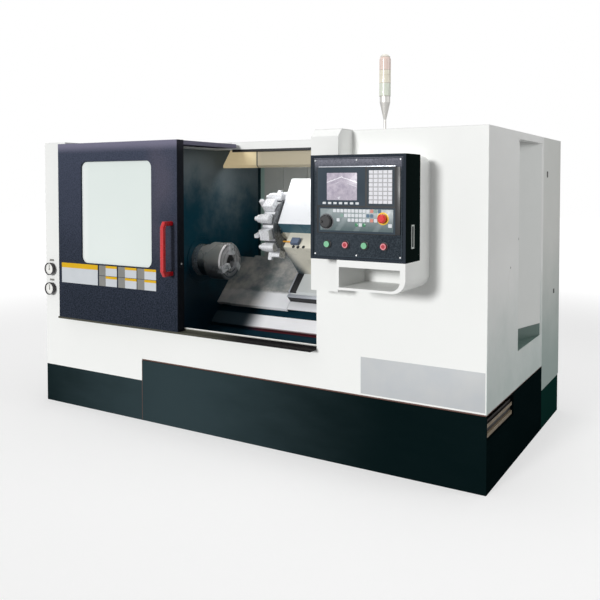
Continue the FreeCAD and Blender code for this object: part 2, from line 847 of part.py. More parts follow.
# Spindle motor on its foot, its pulley and the flat belt that runs up to the spindle.
def makeDrive():
    motor = Piece("spindle_motor")
    start = "pulleyLeft - motorGap - motorLength"
    centre = ("motorY", "motorZ")
    motor.rod("YZ", centre, "motorRadius", start, "motorLength")
    motor.rod("YZ", centre, "motorShaft", "pulleyLeft - motorGap", "motorGap + pulleyWidth")
    foot = rectangle(("motorY - motorFoot", "leftPlinthTop"), ("motorY + motorFoot", "motorZ"))
    motor.pad("YZ", foot, start + " + motorGap * 3", "motorLength - motorGap * 6")
    place = FreeCAD.Placement(FreeCAD.Vector(0, value("motorY"), value("motorZ")), FreeCAD.Rotation())
    pulley = Piece("motor_pulley", place)
    pulley.turn("X", pulleyProfile("motorPulleyRadius", "motorShaft + bearingFit"))
    belt = doc.addObject("Part::Feature", "drive_belt")
    belt.Label = "drive_belt"
    belt.Shape = beltShape()
    belt.Placement = FreeCAD.Placement(FreeCAD.Vector(0, 0, 0), FreeCAD.Rotation())
    made.append(belt)


# The belt is the band between two loops, each two arcs joined by their common tangents.
def beltShape():
    inside = beltLoop(value("beltFit"))
    outside = beltLoop(value("beltFit") + value("beltThick"))
    face = Part.makeFace([outside, inside], "Part::FaceMakerBullseye")
    width = value("pulleyWidth") - value("pulleyRim") - 2 * value("beltFit")
    return face.extrude(FreeCAD.Vector(width, 0, 0))


def beltLoop(growth):
    x = value("pulleyLeft") + value("pulleyRim") / 2 + value("beltFit")
    upper = FreeCAD.Vector(x, value("spindleY"), value("spindleZ"))
    lower = FreeCAD.Vector(x, value("motorY"), value("motorZ"))
    upperRadius = value("pulleyRadius") + growth
    lowerRadius = value("motorPulleyRadius") + growth
    run = lower.sub(upper)
    heading = math.atan2(run.z, run.y)
    swing = math.acos((upperRadius - lowerRadius) / run.Length)

    def rim(centre, radius, angle):
        return centre.add(FreeCAD.Vector(0, radius * math.cos(angle), radius * math.sin(angle)))
    ends = (heading + swing, heading - swing)
    upperArc = Part.Arc(rim(upper, upperRadius, ends[0]), rim(upper, upperRadius, heading + math.pi),
                        rim(upper, upperRadius, ends[1])).toShape()
    lowerArc = Part.Arc(rim(lower, lowerRadius, ends[1]), rim(lower, lowerRadius, heading),
                        rim(lower, lowerRadius, ends[0])).toShape()
    sides = [Part.makeLine(rim(upper, upperRadius, angle), rim(lower, lowerRadius, angle)) for angle in ends]
    return Part.Wire(Part.__sortEdges__([upperArc, sides[1], lowerArc, sides[0]]))


# Three-jaw power chuck: a turned body with three slots, and a stepped jaw in each.
def makeChuck():
    axis = FreeCAD.Vector(0, value("spindleY"), value("spindleZ"))
    chuck = Piece("chuck_body", FreeCAD.Placement(axis, FreeCAD.Rotation()))
    split = "noseFront + (chuckFront - noseFront) * 0.35"
    chuck.turn("X", [("noseFront", "chuckBore"), ("chuckFront", "chuckBore"),
                     ("chuckFront", "chuckRadius - chuckEdge"), ("chuckFront - chuckEdge", "chuckRadius"),
                     ("chuckFront - chuckLength", "chuckRadius"),
                     ("chuckFront - chuckLength", "backplateRadius"), ("noseFront", "backplateRadius")])
    slotHalf = "jawWidth / 2 + jawFit"
    mouth = rectangle(("-(%s)" % slotHalf, "jawSlotInner"), (slotHalf, "chuckRadius + chuckEdge"))
    slot = chuck.cut("YZ", mouth, "chuckFront - jawSlotDepth", "jawSlotDepth")
    chuck.ring(slot, "X", "3")
    for number in range(3):
        turn = FreeCAD.Rotation(FreeCAD.Vector(1, 0, 0), 120 * number)
        jaw = Piece("chuck_jaw_%d" % (number + 1), FreeCAD.Placement(axis, turn))
        back = "chuckFront - jawSlotDepth + jawFit"
        side = [(back, "jawInner"), ("chuckFront + jawReach", "jawInner"),
                ("chuckFront + jawReach", "jawInner + jawStep"),
                ("chuckFront + jawReach - jawStepReach", "jawInner + jawStep"),
                ("chuckFront + jawReach - jawStepReach", "jawInner + jawLength - jawStep"),
                ("chuckFront + jawStepReach / 2", "jawInner + jawLength"), (back, "jawInner + jawLength")]
        jaw.pad("XZ", side, "-jawWidth / 2", "jawWidth")
        screwDepth = "jawStepReach"
        jaw.bore("YZ", ("0", "jawInner + jawLength / 2"), "jawScrew",
                 "chuckFront + jawReach - jawStepReach - " + screwDepth, screwDepth)


# Carriage on the upper ways, with a cross slide that runs up and down the slope.
def makeCarriage():
    carriage = Piece("carriage")
    ways = "wayTop"
    middle = "screwAcross"
    section = slope([("carriageLow", ways), (middle + " - grooveHalf", ways),
                     (middle + " - grooveHalf", ways + " + grooveDepth"),
                     (middle + " + grooveHalf", ways + " + grooveDepth"), (middle + " + grooveHalf", ways),
                     ("carriageLow + carriageWidth", ways), ("carriageLow + carriageWidth", "carriageTop"),
                     ("carriageLow", "carriageTop")])
    carriage.pad("YZ", section, "carriageLeft", "carriageLength")
    slide = Piece("cross_slide")
    crossEnd = "crossLow + crossLength"
    section = slope([("crossLow", "carriageTop"), (crossEnd, "carriageTop"), (crossEnd, "crossTop - dovetail"),
                     (crossEnd + " - dovetail", "crossTop"), ("crossLow + dovetail", "crossTop"),
                     ("crossLow", "crossTop - dovetail")])
    slide.pad("YZ", section, "carriageLeft + crossInset", "carriageLength - 2 * crossInset")


# Turret: a bevelled housing on the cross slide, and a disc with its stations and their holders.
def makeTurret():
    housing = Piece("turret_housing")
    section = slope([("turretLow", "crossTop"), ("turretHigh", "crossTop"),
                     ("turretHigh", "turretTop - turretSlope"), ("turretHigh - turretSlope", "turretTop"),
                     ("coverFoot", "coverFootTop"), ("coverFoot", "headTop"), ("turretLow", "headTop")])
    housing.pad("YZ", section, "turretLeft", "turretLength")
    clearance = slope(rectangle(("turretLow", "crossTop"), ("coverFoot", "headTop")))
    housing.cut("YZ", clearance, "turretLeft", "headSet")
    housing.rod("YZ", ("discY", "discZ"), "discHub", "turretLeft - discHubReach", "discHubReach")
    place = FreeCAD.Vector(0, value("discY"), value("discZ"))
    lean = FreeCAD.Rotation(FreeCAD.Vector(1, 0, 0), value("bedSlant"))
    disc = Piece("turret_disc", FreeCAD.Placement(place, lean))
    left = "discLeft"
    flat = "discRadius"
    pitch = "360deg / stations"
    reach = "discRadius / cos(%s / 2)" % pitch
    corners = []
    for number in range(int(value("stations"))):
        angle = "%s * %.1f" % (pitch, number + 0.5)
        corners.append(("%s * cos(%s)" % (reach, angle), "%s * sin(%s)" % (reach, angle)))
    disc.pad("YZ", corners, left, "discThick")
    disc.rod("YZ", ("0", "0"), "discHub * 0.6", left + " - discHubReach", "discHubReach")
    holder = rectangle(("-holderWidth / 2", flat + " - holderInset"),
                       ("holderWidth / 2", flat + " + holderHeight"))
    blockLength = "discThick - holderInset"
    block = disc.pad("YZ", holder, left, blockLength)
    shank = rectangle(("-shankSize / 2", flat + " - shankSize"), ("shankSize / 2", flat + " + shankReach"))
    bar = disc.pad("YZ", shank, left + " - shankStand", "shankStand")
    pattern = disc.body.newObject("PartDesign::PolarPattern", "turret_disc_holders")
    pattern.Originals = [block, bar]
    pattern.Axis = (disc.origin("X_Axis"), [""])
    pattern.Angle = 360
    pattern.setExpression("Occurrences", bound("stations / 2"))
    disc.body.Tip = pattern
    spots = []
    for number in range(int(value("stations") / 2)):
        angle = "90deg + %s * %d" % (pitch, 2 * number + 1)
        spots.append(("boringOut * cos(%s)" % angle, "boringOut * sin(%s)" % angle))
    for spot in spots:
        disc.rod("YZ", spot, "boringRadius + sheet", left, blockLength)
    for spot in spots:
        disc.rod("YZ", spot, "boringRadius", left + " - boringSleeve", "boringSleeve + sheet")
    for spot in spots:
        disc.rod("YZ", spot, "boringBar", left + " - boringReach", "boringReach")


# Telescopic covers on both sides of the carriage: one fixed and one sliding sheet each.
def makeCovers():
    fixed = "coverAbove"
    sliding = "coverAbove + coverStep"
    makeCover("left_fixed_cover", fixed, "wallFace", "leftFixedLength", "0")
    makeCover("left_sliding_cover", sliding, "carriageLeft - leftSlidingLength", "leftSlidingLength",
              "coverStep")
    makeCover("right_fixed_cover", fixed, "rightFixedLeft", "rightFixedLength", "0")
    makeCover("right_sliding_cover", sliding, "carriageRight", "rightFixedLeft + rightOverlap - carriageRight",
              "coverStep")


def makeCover(name, above, start, length, spread):
    cover = Piece(name)
    low = "coverLow - " + spread
    high = "coverHigh + " + spread
    section = slope([(low, above + " - coverSkirt"), (low, above), (high, above),
                     (high, above + " - coverSkirt"),
                     (high + " - coverSheet", above + " - coverSkirt"),
                     (high + " - coverSheet", above + " - coverSheet"),
                     (low + " + coverSheet", above + " - coverSheet"),
                     (low + " + coverSheet", above + " - coverSkirt")])
    cover.pad("YZ", section, start, length)


# Tailstock leaning over from the low ways to the spindle axis, with its quill and centre.
def makeTailstock():
    body = Piece("tailstock")
    ways = "wayTop"
    edge = "tailHead"
    section = slope([("tailWayLow", ways), ("tailWayHigh + tailWayWidth", ways),
                     ("tailWayHigh + tailWayWidth", "coverAbove + 3 * coverStep"),
                     (edge, "-2 * " + edge), (edge, edge + " * 0.6"), (edge + " * 0.6", edge),
                     ("-" + edge + " * 0.6", edge), ("-" + edge, edge + " * 0.6"),
                     ("tailWayLow", "carriageTop")])
    body.pad("YZ", section, "tailLeft", "tailLength")
    centre = ("spindleY", "spindleZ")
    body.bore("YZ", centre, "quillRadius + quillFit", "tailLeft", "quillBack - tailLeft")
    axis = FreeCAD.Placement(FreeCAD.Vector(0, value("spindleY"), value("spindleZ")), FreeCAD.Rotation())
    quill = Piece("tailstock_quill", axis)
    tip = "quillStart - centreLength"
    quill.turn("X", [(tip, "0"), ("quillStart + quillLength", "0"), ("quillStart + quillLength", "quillRadius"),
                     ("quillStart + sheet", "quillRadius"), ("quillStart", "quillRadius - sheet"),
                     ("quillStart", "centreRadius"), ("quillStart - centreLength / 2", "centreRadius")])


# What lines the working space: chip tray, ribbed back wall and the work lamp under the roof.
def makeInterior():
    tray = Piece("chip_tray")
    left = "wallFace"
    long = "bulkheadX - (%s)" % left
    bedFront = slanted("bedAcrossLow", "bedFace")[0] + " - bedFrontFoot"
    top = "trayFloor + trayLip"
    section = [("frontY + sheet", top), ("frontY + sheet", top + " - sheet"),
               ("frontY + trayFoot", "trayFloor"), (bedFront, "trayFloor - trayFall"),
               (bedFront, "trayFloor - trayFall + sheet"), ("frontY + trayFoot + sheet", "trayFloor + sheet"),
               ("frontY + 4 * sheet", top)]
    tray.pad("YZ", section, left, long)
    back = Piece("back_wall")
    back.pad("YZ", rectangle(("backWallY", "rightPlinthTop"), ("backWallY + backWallSheet", "bodyTop - sheet")),
             left, long)
    ribFoot = slanted("bedAcrossHigh", "bedFace")[1]
    rib = rectangle(("%s + ribPitch" % left, ribFoot), ("%s + ribPitch + ribWidth" % left, "bodyTop - sheet"))
    strip = back.pad("XZ", rib, "backWallY - ribDepth", "ribDepth")
    back.repeat(strip, "X", "ribPitch * (ribCount - 1)", "ribCount")
    lamp = Piece("work_lamp")
    section = [("lampY", "lampBottom + lampEdge"), ("lampY + lampEdge", "lampBottom"),
               ("lampY + lampDepth", "lampBottom"), ("lampY + lampDepth", "bodyTop - sheet"),
               ("lampY", "bodyTop - sheet")]
    lamp.pad("YZ", section, "lampLeft", "lampLength")
    corner = [("lampLeft - sheet", "lampBottom"), ("lampLeft", "lampBottom"),
              ("lampLeft + lampSlope", "bodyTop"), ("lampLeft - sheet", "bodyTop")]
    lamp.cut("XZ", corner, "lampY - sheet", "lampDepth + 2 * sheet")


# Sliding door: a pan-shaped leaf with a framed window and a roof part that reaches back.
def makeDoor():
    face = "doorFace"
    right = "doorRight"
    leaf = Piece("door_shell")
    leaf.pad("XZ", rectangle(("doorLeft", "doorBottom"), (right, "doorTop")), face, "doorDepth")
    pan = rectangle(("doorLeft + doorRim", "doorBottom + doorRim"),
                    (right + " - doorRim", "doorTop - doorRim"))
    leaf.cut("XZ", pan, face + " + doorSkin", "doorDepth")
    windowRight = "windowRight"
    windowTop = "windowTop"
    frame = rectangle(("windowLeft - windowFrame", "windowBottom - windowFrame"),
                      (windowRight + " + windowFrame", windowTop + " + windowFrame"))
    leaf.pad("XZ", frame, face + " + doorSkin", "doorDepth - doorSkin - doorRim / 2")
    leaf.cut("XZ", rectangle(("windowLeft", "windowBottom"), (windowRight, windowTop)), face, "doorDepth")
    roofLength = "doorWidth - doorRoofCut"
    roofRear = "stepRear - doorRoofSheet"
    roof = rectangle((face + " + doorDepth / 2", "doorTop - doorRoofSheet"), (roofRear, "doorTop"))
    leaf.pad("YZ", roof, "doorLeft", roofLength)
    windowEdges = along("Y", x=(value("windowLeft"), value("windowLeft") + value("windowWidth")),
                        z=(value("windowBottom"), value("windowBottom") + value("windowHeight")))
    leaf.soften("Fillet", "windowRound", windowEdges)
    faceY = value("frontY") - value("doorGap") - value("doorDepth")
    outerLeft = along("Z", x=at(value("doorLeft")), y=at(faceY))
    outerRight = along("Z", x=at(value("doorLeft") + value("doorWidth")), y=at(faceY))
    leaf.soften("Fillet", "doorSkin * 1.2", lambda edge: outerLeft(edge) or outerRight(edge))
    glass = Piece("door_window")
    glass.pad("XZ", rectangle(("windowLeft + sideClearance", "windowBottom + sideClearance"),
                              (windowRight + " - sideClearance", windowTop + " - sideClearance")),
              face + " + glassSet", "glassThick")
    glass.soften("Fillet", "windowRound", along("Y"))
    handle = Piece("door_handle")
    top = "handleTop"
    reach = "handleFace"
    bow = [(face, "handleBottom"), (face, "handleBottom + 2 * handleRadius"),
           (reach + " + handleBend", "handleBottom + 2 * handleRadius"),
           (reach + " + 2 * handleRadius", "handleBottom + handleBend + handleRadius"),
           (reach + " + 2 * handleRadius", top + " - handleBend - handleRadius"),
           (reach + " + handleBend", top + " - 2 * handleRadius"), (face, top + " - 2 * handleRadius"),
           (face, top),
           (reach + " + handleBend - handleRadius", top), (reach, top + " - handleBend"),
           (reach, "handleBottom + handleBend"), (reach + " + handleBend - handleRadius", "handleBottom")]
    handle.pad("YZ", bow, "handleX - handleRadius", "2 * handleRadius")
    rootY = faceY - value("handleRadius")
    handle.soften("Fillet", "handleRadius * 0.6", lambda edge: edge.CenterOfMass.y < rootY and
                  abs(abs(edge.CenterOfMass.x - value("handleX")) - value("handleRadius")) < 0.5)
    track = Piece("door_track")
    back = rectangle(("frontY - doorGap + 1", "trackBottom"), ("frontY", "sillTop - sheet"))
    track.pad("YZ", back, "trackLeft", "trackRight - trackLeft")
    ledge = rectangle((face, "doorBottom - hairline - trackLedge"),
                      ("frontY - doorGap + 1", "doorBottom - hairline"))
    track.pad("YZ", ledge, "trackLeft", "trackRight - trackLeft")


# Pendant: column, white housing with a shelf below it, and the black operator box.
def makePendant():
    column = Piece("pendant_column")
    section = [("frontY", "columnBottom"), ("frontY", "columnTop"), ("columnFace + columnChamfer", "columnTop"),
               ("columnFace", "columnTop - columnChamfer"), ("columnFace", "columnBottom")]
    column.pad("YZ", section, "columnLeft", "columnWidth")
    housing = Piece("pendant_housing")
    start = "columnRight"
    housing.pad("XZ", rectangle((start, "pendantBottom"), ("pendantRight", "pendantTop")), "housingFace",
                "housingReach")
    housing.pad("XZ", rectangle(("podLeft", "podBottom"), ("pendantRight", "pendantBottom")), "boxFace",
                "boxReach")
    shelf = rectangle(("podLeft + podWall", "podBottom + podWall"),
                      ("pendantRight - podWallRight", "pendantBottom - podWallTop"))
    housing.cut("XZ", shelf, "boxFace", "podDepth")
    housing.soften("Fillet", "housingRound", along("Y", x=at(value("pendantRight")), z=at(value("pendantTop"))))
    shelfRight = value("pendantRight") - value("podWallRight")
    shelfBottom = value("podBottom") + value("podWall")
    housing.soften("Fillet", "podInnerRound", along("Y", x=at(shelfRight), z=at(shelfBottom)))
    housing.soften("Fillet", "podRound", along("Y", x=at(value("pendantRight")), z=at(value("podBottom"))))
    box = Piece("pendant_box")
    face = "boxFace"
    box.pad("XZ", rectangle(("pendantLeft", "pendantBottom"), ("pendantRight", "pendantTop")), face,
            "boxReach - housingReach")
    box.cut("XZ", rectangle(("pendantLeft + boxRim", "pendantBottom + boxRim"),
                            ("pendantRight - boxRim", "pendantTop - boxRim")), face, "boxRecess")
    corner = rectangle(("pendantLeft", "pendantBottom"), (start, "pendantTop"))
    box.cut("XZ", corner, "columnFace", "columnReach - housingReach")
    for spot, radius in panelHoles():
        box.bore("XZ", spot, radius, face + " + boxRecess", "stemLength")
    portFrame = rectangle(("portFace", "portBottom"), ("portFace + portWidth", "portBottom + portHeight"))
    box.pad("YZ", portFrame, "pendantRight", "portReach")
    portHole = rectangle(("portFace + portFrame", "portBottom + portFrame"),
                         ("portFace + portWidth - portFrame", "portBottom + portHeight - portFrame"))
    box.cut("YZ", portHole, "pendantRight - portReach", "3 * portReach")


def panelHoles():
    stem = "stemRadius + stemFit"
    holes = [(("wheelX", "wheelZ"), stem), (("stopX", "stopZ"), stem)]
    for number in range(4):
        holes.append((("buttonX + buttonPitch * %d" % number, "buttonZ"), stem))
    return holes


# What the operator sees and presses on the box.
def makeControls():
    floor = "boxFloor"
    panel = Piece("operator_panel")
    low = ("pendantLeft + boxRim + hairline", "pendantBottom + boxRim + hairline")
    high = ("pendantRight - boxRim - hairline", "pendantTop - boxRim - hairline")
    panel.pad("XZ", rectangle(low, high), floor + " - panelThick", "panelThick")
    for number in range(4):
        spot = ("buttonX + buttonPitch * %d" % number, "buttonZ")
        panel.rod("XZ", spot, "bezelRadius", floor + " - panelThick - bezelReach", "bezelReach")
    for spot, radius in panelHoles():
        panel.bore("XZ", spot, radius, floor + " - panelThick - bezelReach - 1", "panelThick + bezelReach + 2")
    front = floor + " - panelThick"
    screen = Piece("screen_unit")
    screenRight = "screenLeft + screenWidth"
    screen.pad("XZ", rectangle(("screenLeft", "screenBottom"), (screenRight, "screenBottom + screenHeight")),
               front + " - screenThick", "screenThick")
    glass = rectangle(("glassLeft", "glassBottom"), ("glassLeft + glassWidth", "glassBottom + glassHeight"))
    screen.cut("XZ", glass, front + " - screenThick", "glassRecess")
    keypad = Piece("keypad")
    keypadEdge = rectangle(("keypadLeft", "screenBottom"),
                           ("keypadLeft + keypadWidth", "screenBottom + keypadHeight"))
    keypad.pad("XZ", keypadEdge, front + " - screenThick", "screenThick")
    keyWidth = "(keypadWidth - 2 * keyMargin + keyGap) / keyColumns"
    keyHeight = "(keypadHeight - 2 * keyMargin + keyGap) / keyRows"
    corner = ("keypadLeft + keyMargin", "screenBottom + keyMargin")
    opposite = (corner[0] + " + %s - keyGap" % keyWidth, corner[1] + " + %s - keyGap" % keyHeight)
    key = keypad.pad("XZ", rectangle(corner, opposite), front + " - screenThick - keyRise", "keyRise")
    grid = keypad.body.newObject("PartDesign::MultiTransform", "keypad_grid")
    grid.Originals = [key]
    steps = []
    for axis, pitch, amount in (("X", keyWidth, "keyColumns"), ("Z", keyHeight, "keyRows")):
        step = keypad.body.newObject("PartDesign::LinearPattern", "keypad_step_" + axis)
        step.Direction = (keypad.origin(axisRoles[axis]), [""])
        step.setExpression("Length", bound("%s * (%s - 1)" % (pitch, amount)))
        step.setExpression("Occurrences", bound(amount))
        steps.append(step)
    grid.Transformations = steps
    keypad.body.Tip = grid
    lower = Piece("machine_panel")
    lowerEdge = rectangle(("lowerLeft", "lowerBottom"),
                          ("lowerLeft + lowerWidth", "lowerBottom + lowerHeight"))
    lower.pad("XZ", lowerEdge, front + " - screenThick", "screenThick")
    for spot in (("wheelX", "wheelZ"), ("stopX", "stopZ")):
        lower.bore("XZ", spot, "stemRadius + stemFit", front + " - screenThick - 1", "screenThick + 2")
    makePressed("stop_button", "stopX", "stopZ", "stopRadius", "stopReach", front + " - screenThick")
    makePressed("handwheel", "wheelX", "wheelZ", "wheelRadius", "wheelReach", front + " - screenThick")
    for number in range(4):
        makePressed("push_button_%d" % (number + 1), "buttonX + buttonPitch * %d" % number, "buttonZ",
                    "buttonRadius", "buttonReach", front + " - bezelReach")


# A head on a stem; the stem stands in its hole and the head keeps its travel off the face.
def makePressed(name, x, z, radius, reach, face):
    piece = Piece(name)
    piece.body.setExpression("Placement.Base.x", bound(x))
    piece.body.setExpression("Placement.Base.z", bound(z))
    travel = "hairline" if name == "handwheel" else "pressTravel + hairline"
    top = "(%s) - (%s) - (%s)" % (face, travel, reach)
    bottom = "(%s) - (%s)" % (face, travel)
    edge = "(%s) * 0.3" % reach
    foot = "boxFloor + stemLength - pressTravel - hairline"
    piece.turn("Y", [(top, "0"), (top, "(%s) - (%s)" % (radius, edge)), ("(%s) + (%s)" % (top, edge), radius),
                     (bottom, radius), (bottom, "stemRadius"), (foot, "stemRadius"), (foot, "0")])
    if name == "handwheel":
        piece.rod("XZ", ("-wheelRadius * 0.62", "0"), "wheelKnob", "(%s) - wheelKnob" % top, "wheelKnob * 1.5")


# Signal tower on the roof.
def makeTower():
    place = FreeCAD.Placement(FreeCAD.Vector(value("towerX"), value("towerY"), 0), FreeCAD.Rotation())
    pole = Piece("tower_pole", place)
    pole.turn("Z", [("bodyTop", "0"), ("bodyTop", "towerFoot"), ("bodyTop + sheet * 2", "towerFoot"),
                    ("bodyTop + sheet * 3", "poleRadius"), ("poleTop", "poleRadius"),
                    ("collarBottom", "collarRadius"), ("lampFoot", "collarRadius"), ("lampFoot", "0")])
    lamp = Piece("tower_lamp", place)
    middle = "(lampFoot + lampTop) / 2"
    lamp.turn("Z", [("lampFoot", "0"), ("lampFoot", "lampRadius"), (middle + " - sheet", "lampRadius"),
                    (middle + " - sheet", "lampRadius - sheet / 2"), (middle, "lampRadius - sheet / 2"),
                    (middle, "lampRadius"), ("lampTop - lampRadius", "lampRadius"),
                    ("lampTop - lampRadius * 0.4", "lampRadius * 0.82"),
                    ("lampTop - lampRadius * 0.1", "lampRadius * 0.45"),
                    ("lampTop", "0")])


# Two pressure gauges on the front, with a needle in each.
def makeGauges():
    for number in range(2):
        height = value("gaugeZ") - number * value("gaugePitch")
        place = FreeCAD.Placement(FreeCAD.Vector(value("gaugeX"), 0, height), FreeCAD.Rotation())
        gauge = Piece("pressure_gauge_%d" % (number + 1), place)
        front = "frontY - gaugeReach"
        gauge.turn("Y", [("frontY", "0"), ("frontY", "gaugeRadius * 0.8"),
                         ("frontY - gaugeReach / 2", "gaugeRadius"),
                         (front, "gaugeRadius"), (front, "gaugeRadius - gaugeRim"),
                         (front + " + gaugeFace", "gaugeRadius - gaugeRim"),
                         (front + " + gaugeFace", "needleHub / 2"),
                         (front + " + gaugeFace / 2", "needleHub / 2"), (front + " + gaugeFace / 2", "0")])
        needle = Piece("gauge_needle_%d" % (number + 1), place)
        low = front + " + gaugeFace / 2"
        needle.rod("XZ", ("0", "0"), "needleHub", low, "gaugeFace / 3")
        blade = [("-needleHub / 3", "-needleHub * 2"), ("needleHub / 3", "-needleHub * 2"),
                 ("needleHub / 5", "needleLength"), ("-needleHub / 5", "needleLength")]
        needle.pad("XZ", blade, low, "gaugeFace / 3")
        needle.bore("XZ", ("0", "0"), "needleHub / 2 + bearingFit", low, "gaugeFace / 3")


# Electrical cabinet at the rear with two hinged doors, and the hydraulic unit beside it.
def makeRear():
    rear = "cabinetRear"
    inside = rear + " - cabinetDoorThick - hairline"
    cabinet = Piece("electrical_cabinet")
    cabinet.pad("XY", rectangle(("cabinetLeft", "rearOfFront"), ("halfLength", inside)), "rearPlinthTop",
                "bodyTop - rearPlinthTop")
    cabinet.pad("XY", rectangle(("cabinetLeft", "rearOfFront"), ("halfLength", inside)), "0", "rearPlinthTop")
    hollow = rectangle(("cabinetLeft + cabinetSheet * 6", "rearOfFront + cabinetSheet"),
                       ("halfLength - cabinetSheet * 6", inside))
    cabinet.cut("XY", hollow, "rearPlinthTop + cabinetSheet * 6", "bodyTop - rearPlinthTop - cabinetSheet * 12")
    middle = "(cabinetLeft + halfLength) / 2"
    spans = (("cabinetLeft", middle + " - cabinetDoorGap"), (middle + " + cabinetDoorGap", "halfLength"))
    for number, (left, right) in enumerate(spans, start=1):
        door = Piece("cabinet_door_%d" % number)
        door.pad("XZ", rectangle((left, "rearPlinthTop"), (right, "bodyTop")), rear + " - cabinetDoorThick",
                 "cabinetDoorThick")
        inner = rectangle((left + " + cabinetPull", "rearPlinthTop + cabinetPull"),
                          (right + " - cabinetPull", "bodyTop - cabinetPull"))
        door.cut("XZ", inner, rear + " - cabinetDoorThick", "cabinetDoorThick - cabinetSheet")
        slot = rectangle(("(%s + %s - louvreLength) / 2" % (left, right), "louvreBottom"),
                         ("(%s + %s + louvreLength) / 2" % (left, right), "louvreBottom + louvreSlot"))
        vent = door.cut("XZ", slot, rear + " - 2 * cabinetSheet", "3 * cabinetSheet")
        door.repeat(vent, "Z", "louvrePitch * (louvreRows - 1)", "louvreRows")
    unit = Piece("hydraulic_unit")
    front = "rearOfFront + hairline"
    right = "unitLeft + unitLength"
    back = front + " + unitDepth"
    unit.pad("XY", rectangle(("unitLeft", front), (right, back)), "0", "unitHeight")
    lid = rectangle(("unitLeft - unitLid", front), (right + " + unitLid", back))
    unit.pad("XY", lid, "unitHeight", "unitLid")
    motorSpot = ("unitLeft + unitLength * 0.3", front + " + unitDepth / 2")
    unit.rod("XY", motorSpot, "unitMotorRadius", "unitHeight + unitLid", "unitMotorHeight")
    unit.rod("XY", motorSpot, "unitMotorRadius * 0.9", "unitHeight + unitLid", "unitMotorHeight + unitLid")
    pumpSpot = ("unitLeft + unitLength * 0.75", front + " + unitDepth / 2")
    unit.rod("XY", pumpSpot, "unitPump", "unitHeight + unitLid", "unitMotorHeight / 2")


makePlinths()
makeTank()
makeLeftHousing()
makeRightHousing()
makeBed()
makeHeadstock()
makeDrive()
makeChuck()
makeCarriage()
makeTurret()
makeCovers()
makeTailstock()
makeInterior()
makeDoor()
makePendant()
makeControls()
makeTower()
makeGauges()
makeRear()

doc.recompute()
failed = [item.Name for item in doc.Objects if {"Invalid", "Error"} & set(item.State)]
if failed:
    raise SystemExit("features that failed: " + ", ".join(failed))
for piece in made:
    if piece.Shape.isNull() or not piece.Shape.isValid():
        raise SystemExit("not a valid solid: " + piece.Label)

os.makedirs("parts", exist_ok=True)
for piece in made:
    piece.Shape.exportStep("parts/%s.step" % piece.Label)
print(len(made), "pieces written")
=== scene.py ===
import math

import bmesh
import bpy
from mathutils import Matrix, Vector


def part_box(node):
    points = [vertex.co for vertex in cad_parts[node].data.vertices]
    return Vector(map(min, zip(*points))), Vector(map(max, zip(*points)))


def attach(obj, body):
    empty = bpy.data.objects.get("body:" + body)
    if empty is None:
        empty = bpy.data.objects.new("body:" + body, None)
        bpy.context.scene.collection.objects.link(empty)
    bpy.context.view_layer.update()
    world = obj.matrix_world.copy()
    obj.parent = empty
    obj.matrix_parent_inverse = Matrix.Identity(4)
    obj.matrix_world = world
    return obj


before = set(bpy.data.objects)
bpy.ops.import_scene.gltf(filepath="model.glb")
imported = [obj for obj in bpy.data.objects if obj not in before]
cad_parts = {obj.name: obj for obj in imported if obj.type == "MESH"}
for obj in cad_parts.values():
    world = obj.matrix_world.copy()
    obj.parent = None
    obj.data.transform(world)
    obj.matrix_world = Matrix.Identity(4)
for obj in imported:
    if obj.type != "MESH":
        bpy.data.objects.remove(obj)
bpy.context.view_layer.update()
print("frame loaded:", len(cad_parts), "nodes")


# screen colour, 0 to 255, to the linear colour that a shader wants
def tone(red, green, blue):
    def linear(part):
        part = part / 255
        return part / 12.92 if part <= 0.04045 else ((part + 0.055) / 1.055) ** 2.4
    return linear(red), linear(green), linear(blue), 1.0


def darker(colour, share):
    return [part * share for part in colour[:3]] + [1]


# one socket of a finish, which can be used in sums
class Wire:
    def __init__(self, finish, socket):
        self.finish = finish
        self.socket = socket

    def maths(operation, flipped=False):
        def calc(self, other=0):
            pair = (other, self) if flipped else (self, other)
            return self.finish.node("Math", {"operation": operation}, dict(enumerate(pair)))
        return calc

    __add__ = maths("ADD")
    __radd__ = maths("ADD", True)
    __sub__ = maths("SUBTRACT")
    __rsub__ = maths("SUBTRACT", True)
    __mul__ = maths("MULTIPLY")
    __rmul__ = maths("MULTIPLY", True)
    __truediv__ = maths("DIVIDE")
    __rtruediv__ = maths("DIVIDE", True)
    __pow__ = maths("POWER")
    __rpow__ = maths("POWER", True)
    below = maths("LESS_THAN")
    above = maths("GREATER_THAN")
    most = maths("MAXIMUM")
    wave = maths("SINE")
    size = maths("ABSOLUTE")
    rest = maths("MODULO")


